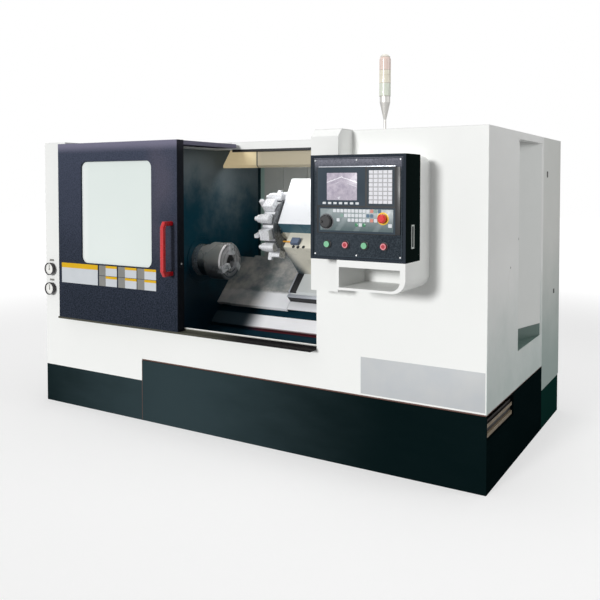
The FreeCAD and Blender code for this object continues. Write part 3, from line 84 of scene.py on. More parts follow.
# a material, or the world, under construction; a value may be a name in its own settings
class Finish:
    def __init__(self, name, own=None, world=None, **plain):
        self.own = own
        self.material = world or bpy.data.materials.new(name)
        self.material.use_nodes = True
        self.tree = self.material.node_tree
        self.tree.nodes.clear()
        kinds = ("Background", "OutputWorld") if world else ("BsdfPrincipled", "OutputMaterial")
        self.shader, output = [self.tree.nodes.new("ShaderNode" + kind) for kind in kinds]
        self.tree.links.new(self.shader.outputs[0], output.inputs[0])
        for socket, value in plain.items():
            self.shader.inputs[socket.replace("_", " ")].default_value = value
        self.spot = self.node("TexCoord", {}, {}, "Object")

    def plug(self, value, socket):
        if isinstance(value, Wire):
            self.tree.links.new(value.socket, socket)
        else:
            socket.default_value = self.own[value] if isinstance(value, str) else value

    def node(self, kind, settings, inputs, output=0):
        node = self.tree.nodes.new("ShaderNode" + kind)
        for name, value in settings.items():
            setattr(node, name, value)
        for name, value in inputs.items():
            self.plug(value, node.inputs[name])
        return Wire(self, node.outputs[output])

    def set(self, **links):
        for socket, value in links.items():
            self.plug(value, self.shader.inputs[socket.replace("_", " ")])

    def axis(self, letter):
        return self.node("SeparateXYZ", {}, {0: self.spot}, letter)

    x = property(lambda self: self.axis("X"))
    y = property(lambda self: self.axis("Y"))
    z = property(lambda self: self.axis("Z"))

    def noise(self, scale, detail=3.0, rough=0.5, stretch=None):
        scale, detail, rough = grains.get(scale, (scale, detail, rough))
        where = self.spot
        if stretch:
            where = self.node("Mapping", {}, {"Vector": where, "Scale": stretch})
        return self.node(
            "TexNoise", {}, {"Vector": where, "Scale": scale, "Detail": detail, "Roughness": rough})

    def pits(self, scale):
        return self.node("TexVoronoi", {"feature": "SMOOTH_F1"}, {"Vector": self.spot, "Scale": scale})

    # two limits, or the name of a pair
    def limits(self, low, high):
        return self.own[low] if high is None else (low, high)

    def span(self, value, low, high=None, start=0.0, end=1.0):
        low, high = self.limits(low, high)
        return self.node(
            "MapRange", {"interpolation_type": "SMOOTHSTEP"}, {0: value, 1: low, 2: high, 3: start, 4: end})

    def within(self, value, low, high=None):
        low, high = self.limits(low, high)
        return value.above(low) * value.below(high)

    # 1 inside a box of limits along X, Y and Z
    def inBox(self, name):
        x, y, z = [self.within(self.axis(letter), *pair) for letter, pair in zip("XYZ", self.own[name])]
        return x * y * z

    def blend(self, first, second, share):
        return self.node("Mix", {"data_type": "RGBA"}, {0: share, 6: first, 7: second}, 2)

    # colours laid one over another, each with its share
    def layered(self, tint, *layers):
        for colour, share in layers:
            tint = self.blend(tint, colour, share)
        return tint

    def bump(self, height, depth, strength=1.0):
        return self.node("Bump", {}, {"Height": height, "Distance": depth, "Strength": strength})

    # the last step: colour, roughness that follows a pattern, and relief
    def close(self, tint, pattern, rough, relief=None, depth=0.0, strength=1.0, limits=(0.3, 0.7)):
        self.set(Base_Color=tint, Roughness=self.span(pattern, *limits, *rough))
        if relief:
            self.set(Normal=self.bump(relief, depth, strength))

    # distance from a line through middle, measured in two axes
    def distance(self, middle, axes):
        first, second = [(self.axis(letter) - start) ** 2 for letter, start in zip(axes, middle)]
        return (first + second) ** 0.5

    # how far a point lies up the slant of the bed, and how far off it
    def slant(self):
        back = self.y - bedSlant["spindle"][0]
        rise = self.z - bedSlant["spindle"][1]
        return (back + rise) * bedSlant["lean"], (rise - back) * bedSlant["lean"]


# noises that several finishes share: size, detail and roughness
grains = {"broad": (1.3, 3, 0.55), "cloud": (3, 4, 0.6), "ripple": (4, 4, 0.6), "film": (7, 4, 0.6),
          "fine": (14, 4, 0.6), "scratch": (60, 5, 0.6), "sand": (230, 4, 0.65)}
# the spindle axis in Y and Z, and the angle of the bed's slant with its sine, which is its cosine too
bedSlant = {"spindle": (-0.378, 1.026), "angle": math.radians(45), "lean": math.sin(math.radians(45))}


def slanted(x, across, above):
    lean = bedSlant["lean"]
    back, rise = bedSlant["spindle"]
    return x, back + lean * (across - above), rise + lean * (across + above)


def clear():
    if bpy.context.object and bpy.context.object.mode != "OBJECT":
        bpy.ops.object.mode_set(mode="OBJECT")
    bpy.ops.object.select_all(action="DESELECT")


def pickOut(piece):
    clear()
    piece.select_set(True)
    bpy.context.view_layer.objects.active = piece


def settle(name):
    piece = bpy.context.object
    piece.name = name
    piece.data.name = name
    bpy.ops.object.transform_apply(location=True, rotation=True, scale=True)
    return piece


# a leaning block has its limits along X, up the slant and off it
def addBlock(name, low, high, leaning=False):
    clear()
    middle = [(a + b) / 2 for a, b in zip(low, high)]
    bpy.ops.mesh.primitive_cube_add(
        size=1, location=slanted(*middle) if leaning else middle,
        rotation=(bedSlant["angle"] * leaning, 0, 0), scale=[b - a for a, b in zip(low, high)])
    return settle(name)


# axis may also be slant, which is square to the bed's slope
def addRound(name, middle, radius, length, axis, sides):
    clear()
    turns = {"X": (0, math.pi / 2, 0), "Y": (math.pi / 2, 0, 0), "slant": (bedSlant["angle"], 0, 0)}
    bpy.ops.mesh.primitive_cone_add(
        vertices=sides, radius1=radius, radius2=radius, depth=length, location=middle, rotation=turns[axis])
    return settle(name)


# edit mode, with the faces or edges that pass the test selected
def choose(piece, kind, test):
    pickOut(piece)
    bpy.ops.object.mode_set(mode="EDIT")
    bpy.ops.mesh.select_mode(type=kind)
    bpy.ops.mesh.select_all(action="DESELECT")
    mesh = bmesh.from_edit_mesh(piece.data)
    for item in mesh.faces if kind == "FACE" else mesh.edges:
        item.select_set(test(item))
    mesh.select_flush_mode()
    bmesh.update_edit_mesh(piece.data)


def bevelled(piece, width, angle=30, segments=2):
    pickOut(piece)
    modifier = piece.modifiers.new("edge", "BEVEL")
    modifier.width = width
    modifier.segments = segments
    modifier.limit_method = "ANGLE"
    modifier.angle_limit = math.radians(angle)
    bpy.ops.object.modifier_apply(modifier=modifier.name)
    return piece


# rounds the corners of a plate that faces along one axis
def cornered(piece, axis, radius, segments=4):
    index = "XYZ".index(axis)

    def running(edge):
        line = edge.verts[1].co - edge.verts[0].co
        return abs(line[index]) > 0.99 * line.length
    choose(piece, "EDGE", running)
    bpy.ops.mesh.bevel(offset=radius, segments=segments, affect="EDGES")
    bpy.ops.object.mode_set(mode="OBJECT")


# extrudes the selected faces by a step and leaves edit mode
def pushed(step):
    bpy.ops.mesh.extrude_region_move(TRANSFORM_OT_translate={"value": step})
    bpy.ops.object.mode_set(mode="OBJECT")


# sinks the middle of the face that looks down an axis, leaving a rim
def sunk(piece, axis, rim, depth):
    index = "XYZ".index(axis)
    choose(piece, "FACE", lambda face: face.normal[index] < -0.9)
    bpy.ops.mesh.inset(thickness=rim)
    pushed([depth if letter == axis else 0 for letter in "XYZ"])


# cuts a hole through a plate, leaving a border
def framed(piece, axis, border):
    index = "XYZ".index(axis)
    choose(piece, "FACE", lambda face: abs(face.normal[index]) > 0.9)
    bpy.ops.mesh.inset(thickness=border)
    bpy.ops.mesh.bridge_edge_loops()
    bpy.ops.object.mode_set(mode="OBJECT")
    return piece


# the last step of a piece, with the names of its materials
def finished(piece, materials, body):
    pickOut(piece)
    bpy.ops.object.shade_smooth_by_angle(angle=math.radians(30))
    for name in materials.split():
        piece.data.materials.append(bpy.data.materials[name])
    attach(piece, body)


# copies of a piece at further places, each with its own mesh, joined into one
def repeated(piece, shifts):
    twins = []
    for shift in shifts:
        twin = piece.copy()
        twin.data = piece.data.copy()
        bpy.context.scene.collection.objects.link(twin)
        twin.data.transform(Matrix.Translation(Vector(shift)))
        twins.append(twin)
    pickOut(piece)
    for twin in twins:
        twin.select_set(True)
    bpy.ops.object.join()


viewSettings = {
    "place": (2.66, -4.38, 1.55),
    "azimuth": 31.05,
    "pitch": -1.9,
    "lens": 43.98,
    "shift": -0.153,
}


def makeCamera():
    data = bpy.data.cameras.new("camera")
    data.lens = viewSettings["lens"]
    data.shift_y = viewSettings["shift"]
    camera = bpy.data.objects.new("camera", data)
    camera.location = viewSettings["place"]
    tilt, turn = math.radians(90 + viewSettings["pitch"]), math.radians(viewSettings["azimuth"])
    camera.rotation_euler = (tilt, 0, turn)
    bpy.context.scene.collection.objects.link(camera)
    bpy.context.scene.camera = camera


lightSettings = {
    "surround": 0.34,
    "keyPower": 2.25,
    "keyAngle": 10,
    "keyWay": (0.15, 0.95, -0.19),
    "skyPower": 80,
    "skySize": (5, 4),
    "skyPlace": (0, -0.5, 6),
    "skyWay": (0, 0, -1),
    "fillPower": 54,
    "fillSize": (2.4, 2.4),
    "fillPlace": (5.2, 0.2, 3.8),
    "fillWay": (-0.84, 0.0, -0.54),
    "workPower": 1.5,
    "workSize": (1.0, 0.05),
    "workPlace": (0.05, -0.185, 1.652),
    "workWay": (0, 0.62, -0.78),
}
floorSettings = {
    "size": 60,
    "paper": (0.50, 0.50, 0.50, 1),
    "glow": (0.52, 0.52, 0.52, 1),
    "fade": (3.5, 8.0),
}


# 1 for camera, mirror and see-through rays, 0 for the rays that light the object
def seenByCamera(finish):
    rays = [finish.node("LightPath", {}, {}, name) for name in
            ("Is Camera Ray", "Is Glossy Ray", "Is Transmission Ray")]
    return rays[0].most(rays[1]).most(rays[2])


def addLight(name, kind, power, way, place=(0, 0, 0), size=None):
    light = bpy.data.lights.new(name, kind)
    light.energy = power
    if size:
        light.shape = "RECTANGLE"
        light.size, light.size_y = size
    lamp = bpy.data.objects.new(name, light)
    lamp.rotation_euler = Vector(way).to_track_quat("-Z", "Y").to_euler()
    lamp.location = place
    lamp.visible_camera = False
    bpy.context.scene.collection.objects.link(lamp)
    return light


def makeLights():
    world = bpy.data.worlds.new("studio")
    bpy.context.scene.world = world
    studio = Finish("studio", world=world, Color=(1.0, 1.0, 1.0, 1.0))
    surround = lightSettings["surround"]
    studio.set(Strength=seenByCamera(studio) * (1 - surround) + surround)
    key = addLight("key", "SUN", lightSettings["keyPower"], lightSettings["keyWay"])
    key.angle = math.radians(lightSettings["keyAngle"])
    for name in ("sky", "fill", "work"):
        power, way, place, size = [lightSettings[name + kind] for kind in ("Power", "Way", "Place", "Size")]
        addLight(name, "AREA", power, way, place, size)


def makeFloor():
    bpy.context.scene.view_settings.view_transform = "Standard"
    clear()
    bpy.ops.mesh.primitive_grid_add(x_subdivisions=8, y_subdivisions=8, size=floorSettings["size"])
    floor = settle("floor")
    paper = Finish("floorPaper", floorSettings, Roughness=0.9, Emission_Strength=1.0)
    black, white = (0.0, 0.0, 0.0, 1), (1.0, 1.0, 1.0, 1)
    away = paper.span(paper.distance((0.0, 0.0), "XY"), "fade")
    paper.set(Base_Color=paper.blend("paper", black, away))
    lit = paper.blend("glow", white, away)
    paper.set(Emission_Color=paper.blend(black, lit, seenByCamera(paper)))
    floor.data.materials.append(paper.material)


makeCamera()
makeLights()
makeFloor()
print("camera, lights and floor made")


# sprayed enamel on sheet steel: faint unevenness and orange peel
def enamelled(look, tint, rough=0.38, peel=0.00025, gloss=0.3):
    look.set(Specular_IOR_Level=gloss)
    relief = look.noise(420, 2) + look.noise("broad") * 2
    look.close(tint, look.noise("fine"), (rough - 0.05, rough + 0.08), relief, peel, limits=(0.3, 0.75))


def enamel(name, colour, shade, rough=0.38, peel=0.00025):
    look = Finish(name)
    share = look.noise("broad") * 0.7 + look.noise("fine") * 0.3
    enamelled(look, look.blend(colour, shade, share), rough, peel)


# small marks that lie flush in the right end: dark pins, lock, vent and catch, and a pale arc that is a
# painted highlight on the front edge of a round cap
# round ones as Y, Z and radius, square ones as Y, Z, half width and half height
sideMarks = {
    "at": 1.5985,
    "dark": tone(44, 42, 46),
    "pale": tone(226, 226, 222),
    "round": ((-0.249, 1.786, 0.007), (-0.249, 1.243, 0.008), (-0.415, 1.098, 0.006)),
    "square": ((0.437, 1.61, 0.017, 0.019), (0.657, 0.838, 0.019, 0.015)),
    "handle": (-0.36, 1.01, 0.098, 0.103),
    "handleCut": 0.05,
}


def marked(look, tint):
    back, rise = look.y, look.z
    share = 0
    for y, z, radius in sideMarks["round"]:
        share = look.distance((y, z), "YZ").below(radius) + share
    for y, z, wide, tall in sideMarks["square"]:
        share = (back - y).size().below(wide) * (rise - z).size().below(tall) * 0.85 + share
    end = look.x.above(sideMarks["at"])
    y, z, inner, outer = sideMarks["handle"]
    # painted highlight: a pale arc on the front edge of a round cap
    paintedArcHighlight = look.within(look.distance((y, z), "YZ"), inner, outer) * back.below(y - sideMarks["handleCut"])
    return look.layered(tint, (sideMarks["pale"], paintedArcHighlight * end), (sideMarks["dark"], share * end))


# the casing's enamel, greyer inside the machining space; painted shade darkens it to grey green low on the
# right end and in the foot of the recess, and dims the roof's top faces and its slot
casingLook = {
    "paint": tone(241, 242, 240),
    "shade": tone(234, 235, 233),
    "low": tone(186, 199, 195),
    "end": 1.597,
    "pocketShade": tone(96, 116, 110),
    "pocketShadeBox": ((1.452, 1.597), (-0.255, 0.9), (0.6, 0.684)),
    "inside": tone(150, 162, 162),
    "insideBox": ((-0.54, 1.33), (-0.824, 0.3), (0.41, 1.765)),
    "roof": tone(212, 213, 211),
    "roofHigh": 1.8385,
    "shadedSlotBox": ((-1.395, -0.4), (-0.825, -0.214), (1.775, 1.9)),
}


def casingFinish():
    look = Finish("casingFinish", casingLook)
    x, z = look.x, look.z
    # painted shade: low on the right end, in the foot of the recess, and on the roof and its slot
    paintedShadeLow = look.span(z - look.noise(2.6, 4, 0.6) * 0.5, 0.95, 0.05)
    pocketShade = look.inBox("pocketShadeBox")
    roof = look.inBox("shadedSlotBox").most(z.above("roofHigh"))
    tint = look.layered(
        "paint",
        ("shade", look.noise("broad")),
        ("low", x.above("end") * paintedShadeLow),
        ("pocketShade", pocketShade),
        ("inside", look.inBox("insideBox") * (1 - pocketShade)),
        ("roof", roof))
    enamelled(look, marked(look, tint), 0.36, gloss=0.1)


# cabinet: the same enamel, with a dark green plinth and a dark catch between its doors; painted shade darkens
# it to grey green low on the right end
cabinetLook = {
    "paint": tone(234, 235, 232),
    "shade": tone(224, 226, 222),
    "low": tone(176, 190, 186),
    "base": tone(18, 50, 45),
    "baseTop": 0.245,
    "catchBox": ((0.69, 0.81), (0.822, 0.9), (0.98, 1.12)),
}


def cabinetFinish():
    look = Finish("cabinetFinish", cabinetLook)
    z = look.z
    cloud = look.noise(2.2, 4, 0.6)
    # painted shade: darker towards the bottom of the right end
    paintedShadeLow = look.x.above(casingLook["end"]) * look.span(z - cloud * 0.5, 1.05, 0)
    tint = look.layered("paint", ("shade", cloud), ("low", paintedShadeLow))
    tint = look.layered(
        marked(look, tint), ("base", z.below("baseTop")), (sideMarks["dark"], look.inBox("catchBox") * 0.8))
    enamelled(look, tint, 0.5, gloss=0)


# plinth: dark green enamel, lighter in a cloud over the middle of its front
plinthLook = {
    "deep": tone(5, 18, 19), "paleMiddle": tone(52, 66, 70), "middle": -0.45, "reach": 1.9, "front": -0.828}


def plinthFinish():
    look = Finish("plinthFinish", plinthLook)
    away = (look.x - plinthLook["middle"]).size()
    cloud = look.noise(2.4, 4, 0.6, (1, 1, 3))
    paleMiddle = look.span(away + cloud * 0.6, "reach", 0.3)
    paleMiddle = paleMiddle * look.y.below("front")
    tint = look.blend("deep", "paleMiddle", paleMiddle * 0.85 + cloud * 0.08)
    enamelled(look, tint, 0.55, 0.0005, 0)


# tank drawer: near black, with two tan rails across its front and end
tankLook = {
    "paint": tone(24, 20, 17), "rail": tone(150, 136, 112), "worn": tone(96, 84, 70),
    "rails": ((0.283, 0.305), (0.328, 0.35))}


def tankFinish():
    look = Finish("tankFinish", tankLook)
    lower, upper = [look.within(look.z, *limits) for limits in tankLook["rails"]]
    rail = look.blend("rail", "worn", look.noise(26, 5, 0.7))
    enamelled(look, look.blend("paint", rail, lower + upper), 0.5, 0.0005, 0.1)


# dark hammertone enamel of the door: pits about 5 mm wide, lighter on their crowns and towards the top; a
# pinkish painted reflection lies beside the pane and the right side face is painted near black as shade
doorLook = {
    "deep": tone(13, 22, 30),
    "crown": tone(74, 80, 98),
    "top": tone(124, 122, 142),
    "topFrom": (1.75, 1.815),
    "side": tone(6, 8, 12),
    "sideAt": -0.3225,
    "sheen": tone(122, 110, 122),
    "sheenAt": -0.45,
    "sheenFrom": (0.95, 1.35),
}


def doorFinish():
    look = Finish("doorFinish", doorLook, Specular_IOR_Level=0.04)
    x, z = look.x, look.z
    pits = look.pits(210)
    drift = look.noise(120, 3, 0.6)
    broad = look.noise(2.4, 3, 0.55)
    rise = look.span(z + broad * 0.3, 0.75, 2.05)
    crown = look.span(pits * 0.4 + drift, 0.45, 0.85) * 0.36 + rise * 0.5
    # painted reflection: a pinkish sheen in a band beside the pane
    sheen = look.span((x - doorLook["sheenAt"]).size(), 0.16, 0.02) * look.span(broad, 0.3, 0.6)
    tint = look.layered(
        "deep",
        ("crown", crown),
        ("sheen", sheen * look.span(z, "sheenFrom") * 0.2),
        ("top", look.span(z, "topFrom") * 0.85),
        # painted shade: the right side face near black
        ("side", x.above("sideAt") * 0.85))
    look.close(tint, drift, (0.34, 0.5), pits + drift * 0.6, 0.0012, 0.8)


# ground or brushed steel: fine scratches along one way and a thin oily film
def brushed(look, tint, rough, grain):
    scratch = look.noise("scratch", stretch=grain)
    rub = look.span(scratch, 0.3, 0.7, rough - 0.08, rough + 0.12)
    look.set(Base_Color=tint, Roughness=rub + look.noise("film") * 0.06)
    look.set(Normal=look.bump(scratch, 0.00012))


def steel(name, colour, rough, grain, stain, metal):
    look = Finish(name, Metallic=metal)
    film = look.span(look.noise("film"), 0.45, 0.8) * stain
    tint = look.blend(colour, darker(colour, 0.62), film + look.noise("scratch", stretch=grain) * 0.15)
    brushed(look, tint, rough, grain)


# painted casting: filler ripples under a dull machine enamel
def cast(look, tint, rough=0.5, grain=0.0007):
    sand = look.noise("sand")
    relief = sand + look.noise("ripple") * 1.5
    look.close(tint, sand, (rough - 0.06, rough + 0.1), relief, grain, 0.7)


def castPaint(name, colour, shade, rough=0.5):
    look = Finish(name)
    share = look.noise("ripple") * 0.8 + look.noise("sand") * 0.2
    cast(look, look.blend(colour, shade, share), rough)


# bed: dark teal casting whose ways, beyond a height off the slant, are ground bright; to the left a painted
# shadow of the door darkens the ways and the red line
bedLook = {
    "paint": tone(22, 58, 72),
    "shade": tone(9, 32, 44),
    "way": tone(250, 250, 252),
    "worn": tone(150, 152, 160),
    "wayHigh": -0.396,
    "wayLow": -0.262,
    "clean": (-0.29, -0.09),
    "rust": tone(110, 26, 26),
    "rustAcross": (-0.2565, -0.2478),
}


def bedFinish():
    look = Finish("bedFinish", bedLook, Specular_IOR_Level=0.1)
    across, above = look.slant()
    # painted shadow of the door: 0 to the left, 1 to the right
    clean = look.span(look.x, "clean")
    way = above.above("wayHigh") * across.above("wayLow") * (clean * 0.97 + 0.03)
    ground = look.blend("way", "worn", look.noise(30, 4, 0.6, (0.4, 6, 6)) * 0.12)
    rust = look.within(across, "rustAcross") * clean * 0.6
    tint = look.layered("paint", ("shade", look.noise("cloud")), (ground, way), ("rust", rust))
    look.set(Metallic=way * 0.1)
    cast(look, tint, 0.42, 0.0004)


# way covers: oily mottled steel, bright on the lower fold, which a painted shadow of the door dims to the
# left
coverLook = {
    "plate": tone(188, 182, 176), "stain": tone(104, 114, 116), "fold": tone(240, 241, 244),
    "foldTop": (0.042, 0.016), "clean": (-0.24, -0.02)}


def coverFinish():
    look = Finish("coverFinish", coverLook, Metallic=0.15)
    cloud = look.noise(7, 5, 0.65)
    fold = look.span(look.slant()[0] + cloud * 0.03, "foldTop")
    # painted shadow of the door: dims the fold to the left
    clean = look.span(look.x + cloud * 0.05, "clean")
    tint = look.layered(
        "plate", ("stain", look.span(cloud, 0.25, 0.72)), ("fold", fold * (clean * 0.8 + 0.2)))
    brushed(look, tint, 0.34, (0.6, 18, 18))


# wall at the headstock: cloudy grey teal above, dark petrol below
linerLook = {
    "low": tone(10, 38, 52), "mid": tone(6, 66, 84), "high": tone(112, 124, 130),
    "levels": (0.75, 1.15, 1.66)}


def linerFinish():
    look = Finish("linerFinish", linerLook)
    low, mid, high = linerLook["levels"]
    level = look.z + (look.noise(3.2, 5, 0.62) - 0.5) * 0.9 + look.y * 0.18
    tint = look.layered("low", ("mid", look.span(level, low, mid)), ("high", look.span(level, mid, high)))
    enamelled(look, tint, 0.33, 0.0006, 0.12)


# rear wall: grey sheet, dark at its left corner with a pale seam beside it
backLook = {
    "sheet": tone(208, 209, 205), "shade": tone(176, 182, 178), "corner": -0.52, "seam": -0.486,
    "dark": tone(12, 44, 52), "pale": tone(160, 196, 186)}


def backFinish():
    look = Finish("backFinish", backLook)
    x = look.x
    tint = look.layered(
        "sheet", ("shade", look.noise("cloud")), ("pale", x.below("seam") * 0.8), ("dark", x.below("corner")))
    enamelled(look, tint, 0.38, 0.0005)


# turret housing: white cover whose underside is painted dark as shade, over a cream head whose foot is dark
# to the left
headLook = {
    "cover": tone(226, 228, 231),
    "shade": tone(220, 222, 226),
    "cream": tone(226, 222, 206),
    "creamShade": tone(204, 200, 186),
    "foot": tone(64, 76, 80),
    "footAcross": 0.1305,
    "under": tone(66, 100, 114),
    "underAcross": 0.2585,
    "headHigh": 0.0215,
}


def headFinish():
    look = Finish("headFinish", headLook)
    across, above = look.slant()
    low = across.below("underAcross")
    cream = look.blend("cream", "creamShade", look.noise(9, 4, 0.6))
    foot = look.blend("foot", cream, look.span(look.x + above * 0.3, 0.02, 0.12))
    tint = look.layered(
        "cover", ("shade", look.noise(2, 3, 0.55)), (cream, low), (foot, across.below("footAcross")),
        # painted shade on the cover's underside, above the head
        ("under", low * above.above("headHigh")))
    enamelled(look, tint, 0.3)


# tool disc: dark oily body between bright holders and tools
discLook = {
    "middle": (-0.1376, 1.2664), "body": 0.179, "face": -0.0785, "steel": tone(236, 237, 240),
    "shade": tone(92, 96, 108), "dark": tone(34, 42, 50)}


def discFinish():
    look = Finish("discFinish", discLook, Metallic=0.3)
    body = look.distance(discLook["middle"], "YZ").below("body")
    body = body * look.x.above("face")
    spot = look.span(look.noise(9, 2, 0.5), 0.45, 0.75) * 0.4
    tint = look.layered("steel", ("shade", spot), ("dark", body * 0.8))
    brushed(look, tint, 0.26, (14, 1, 1))


# chuck: turned rings on its face and round its barrel, oily between them; painted shade darkens it towards
# the bottom and a painted highlight lies along the top of its barrel
chuckLook = {
    "steel": tone(214, 212, 212), "shade": tone(60, 72, 80), "gleam": tone(255, 248, 238),
    "gleamFrom": (0.075, 0.115), "barrel": 0.012, "darkFrom": (1.1, 0.96)}


def chuckFinish():
    look = Finish("chuckFinish", chuckLook, Metallic=0.6)
    x = look.x
    out = look.distance(bedSlant["spindle"], "YZ")
    film = look.noise(6, 2, 0.5)
    bands = look.span((out * 190).wave(), 0.5, 0.95) * 0.5
    # painted shade: darker towards the bottom
    low = look.span(look.z + film * 0.08, "darkFrom")
    barrel = x.below(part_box("chuck_body")[1][0] - chuckLook["barrel"])
    # painted highlight along the top of the barrel
    high = look.span(look.slant()[1] + film * 0.02, "gleamFrom")
    tint = look.layered(
        "steel", ("shade", look.span(film, 0.38, 0.66) * 0.2 + bands + low * 0.7),
        ("gleam", barrel * high * 0.85))
    lines = (out * 1200).wave() + (x * 900).wave()
    look.close(tint, film, (0.2, 0.36), lines, 0.00004, limits=(0.3, 0.75))


# door track: worn grey to the left, near black to the right, with a painted highlight along its upper edge
trackLook = {
    "worn": tone(80, 82, 72), "oil": tone(64, 62, 54), "dark": tone(14, 12, 14),
    "bright": tone(176, 176, 170), "turn": (-0.1, 0.36), "edge": (0.6405, 0.645)}


def trackFinish():
    look = Finish("trackFinish", trackLook, Specular_IOR_Level=0.1)
    worn = look.noise(16, 5, 0.7, (0.5, 6, 6))
    dark = look.span(look.x + worn * 0.3, "turn")
    # the pale band along the upper edge is a painted highlight
    tint = look.layered("worn", ("oil", worn), ("dark", dark), ("bright", look.within(look.z, "edge")))
    brushed(look, tint, 0.42, (0.5, 12, 12))


def plastic(name, colour, rough=0.42, grain=0.00015, coat=0, variation=0.12):
    look = Finish(name, Coat_Weight=coat)
    broad = look.noise(12, 3, 0.5)
    tint = look.blend(colour, darker(colour, 1 - variation), broad)
    look.close(tint, broad, (rough - 0.04, rough + 0.05), look.noise(520, 2), grain)


# printed film or painted plate: nearly even, a little cloudy
def printed(name, colour, shade, rough=0.45):
    look = Finish(name, Specular_IOR_Level=0.15)
    cloud = look.noise(9, 3, 0.5)
    look.close(look.blend(colour, shade, cloud), cloud, (rough - 0.05, rough + 0.08), look.noise(300), 0.0001)


# milky polycarbonate pane, brighter towards its left rim
paneLook = {"milk": tone(236, 240, 238), "tint": tone(218, 228, 224), "rim": (-1.16, -1.09)}


def paneFinish():
    look = Finish("paneFinish", paneLook, Coat_Weight=0.6, Coat_Roughness=0.05)
    wash = look.noise(2.2, 2, 0.4)
    share = look.span(look.x, "rim") * 0.6 + wash * 0.4
    tint = look.blend("milk", "tint", share)
    look.close(tint, wash, (0.18, 0.26), look.noise(6, 2), 0.0006, 0.4)


# work lamp: frosted diffuser in two lengths, under a dark blue-grey case strip; the left length is paler and
# glows, a lamp's own light kept to where the door's shadow falls, so partly painted light
lampLook = {
    "left": tone(216, 200, 160), "right": tone(168, 160, 140), "case": tone(78, 90, 108), "joint": -0.194,
    "jointTint": tone(18, 44, 50), "jointHalf": 0.006, "caseDrop": 0.052, "glow": (0.34, 0.27, 0.16, 1),
    "glowFrom": (-0.3, -0.14)}


def lampFinish():
    look = Finish("lampFinish", lampLook, Emission_Strength=1)
    x, joint = look.x, lampLook["joint"]
    case = look.z.above(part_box("work_lamp")[1][2] - lampLook["caseDrop"])
    ribs = look.span((x * 260).wave(), -1, 1)
    dust = look.noise(5, 4, 0.6, (1, 1, 4)) * 0.6
    tint = look.layered(
        "left", ("right", x.above(joint)), (darker(lampLook["left"], 0.6), dust),
        ("jointTint", (x - joint).size().below("jointHalf")), ("case", case))
    # painted light: the glow is kept to the left length, where the door's shadow falls
    off = look.span(x, "glowFrom").most(case)
    look.set(Emission_Color=look.blend("glow", (0, 0, 0, 1), off))
    look.close(tint, ribs, (0.35, 0.5), ribs, 0.0004, 0.5, (0, 1))


# signal tower: three pale lenses with fine ribs inside, under a domed cap
towerLook = {
    "lenses": (tone(214, 220, 206), tone(228, 222, 204), tone(228, 206, 196)), "cap": tone(218, 214, 202),
    "seam": tone(128, 112, 96), "capHigh": 0.02}


def towerFinish():
    look = Finish("towerFinish", towerLook, Coat_Weight=0.5, Coat_Roughness=0.08)
    low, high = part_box("tower_lamp")
    level = (look.z - low[2]) / ((high[2] - low[2] - towerLook["capHigh"]) / 3)
    first, *others = towerLook["lenses"] + ("cap",)
    seam = look.span(level.rest(1), 0, 0.045, 1, 0)
    ribs = look.span((look.z * 1400).wave(), -1, 1)
    lenses = [(colour, level.above(step)) for step, colour in enumerate(others, start=1)]
    tint = look.layered(first, *lenses, ("seam", seam * 0.7 + ribs * 0.12))
    look.close(tint, ribs, (0.22, 0.34), ribs, 0.0004, 0.6, (0, 1))


# the middle of a node in X and Z
def middleOf(node):
    low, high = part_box(node)
    return (low[0] + high[0]) / 2, (low[2] + high[2]) / 2


# strokes that run out from the middle of a node, seen from the front
def strokesRound(look, node, amount, low, high):
    x, z = middleOf(node)
    sides = {0: look.z - z, 1: look.x - x}
    return look.span((look.node("Math", {"operation": "ARCTAN2"}, sides) * amount).wave(), low, high)


# pressure gauge: dark case, white dial with short strokes round its rim
gaugeLook = {
    "dial": tone(236, 236, 232), "stroke": tone(40, 40, 44), "case": tone(60, 58, 62),
    "caseShade": tone(38, 37, 40), "strokes": 24, "band": (0.67, 0.81), "rim": 0.86, "depth": 0.012}


def gaugeFinish(node):
    low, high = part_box(node)
    radius = (high[0] - low[0]) / 2
    look = Finish(node + "Finish", gaugeLook, Coat_Weight=0.3)
    out = look.distance(middleOf(node), "XZ")
    band = look.within(out, *[radius * share for share in gaugeLook["band"]])
    strokes = strokesRound(look, node, "strokes", 0.75, 0.9)
    dial = out.below(radius * gaugeLook["rim"])
    face = look.blend("dial", "stroke", strokes * band)
    shell = look.blend("case", "caseShade", look.noise(40, 3))
    look.set(Metallic=(1 - dial) * 0.6)
    tint = look.blend(shell, face, dial * look.y.below(low[1] + gaugeLook["depth"]))
    look.close(tint, look.noise(30), (0.25, 0.4))


# panel film: grained blue black, lighter along its upper edge
filmLook = {
    "deep": tone(32, 40, 47), "crown": tone(74, 82, 90), "top": tone(142, 142, 154), "topFrom": (1.6, 1.68),
    "away": (1.26, 0.84)}


def filmFinish():
    look = Finish("filmFinish", filmLook, Specular_IOR_Level=0.05)
    mottle = look.noise(150, 4, 0.7)
    crown = look.span(mottle, 0.35, 0.7) * 0.5 + look.span(look.x, "away") * 0.3
    top = look.span(look.z, "topFrom") * look.span(mottle, 0.2, 0.8, 0.35, 1)
    tint = look.layered("deep", ("crown", crown), ("top", top))
    look.close(tint, mottle, (0.38, 0.52), mottle, 0.0006, 0.7)


# operator box: black enamel, paler on its front rim, with a pale frame round its side port
boxLook = {
    "paint": tone(20, 31, 29), "shade": tone(14, 20, 20), "rim": tone(54, 60, 68), "rimAt": -1.1465,
    "port": tone(206, 212, 208), "portAt": 1.2993}


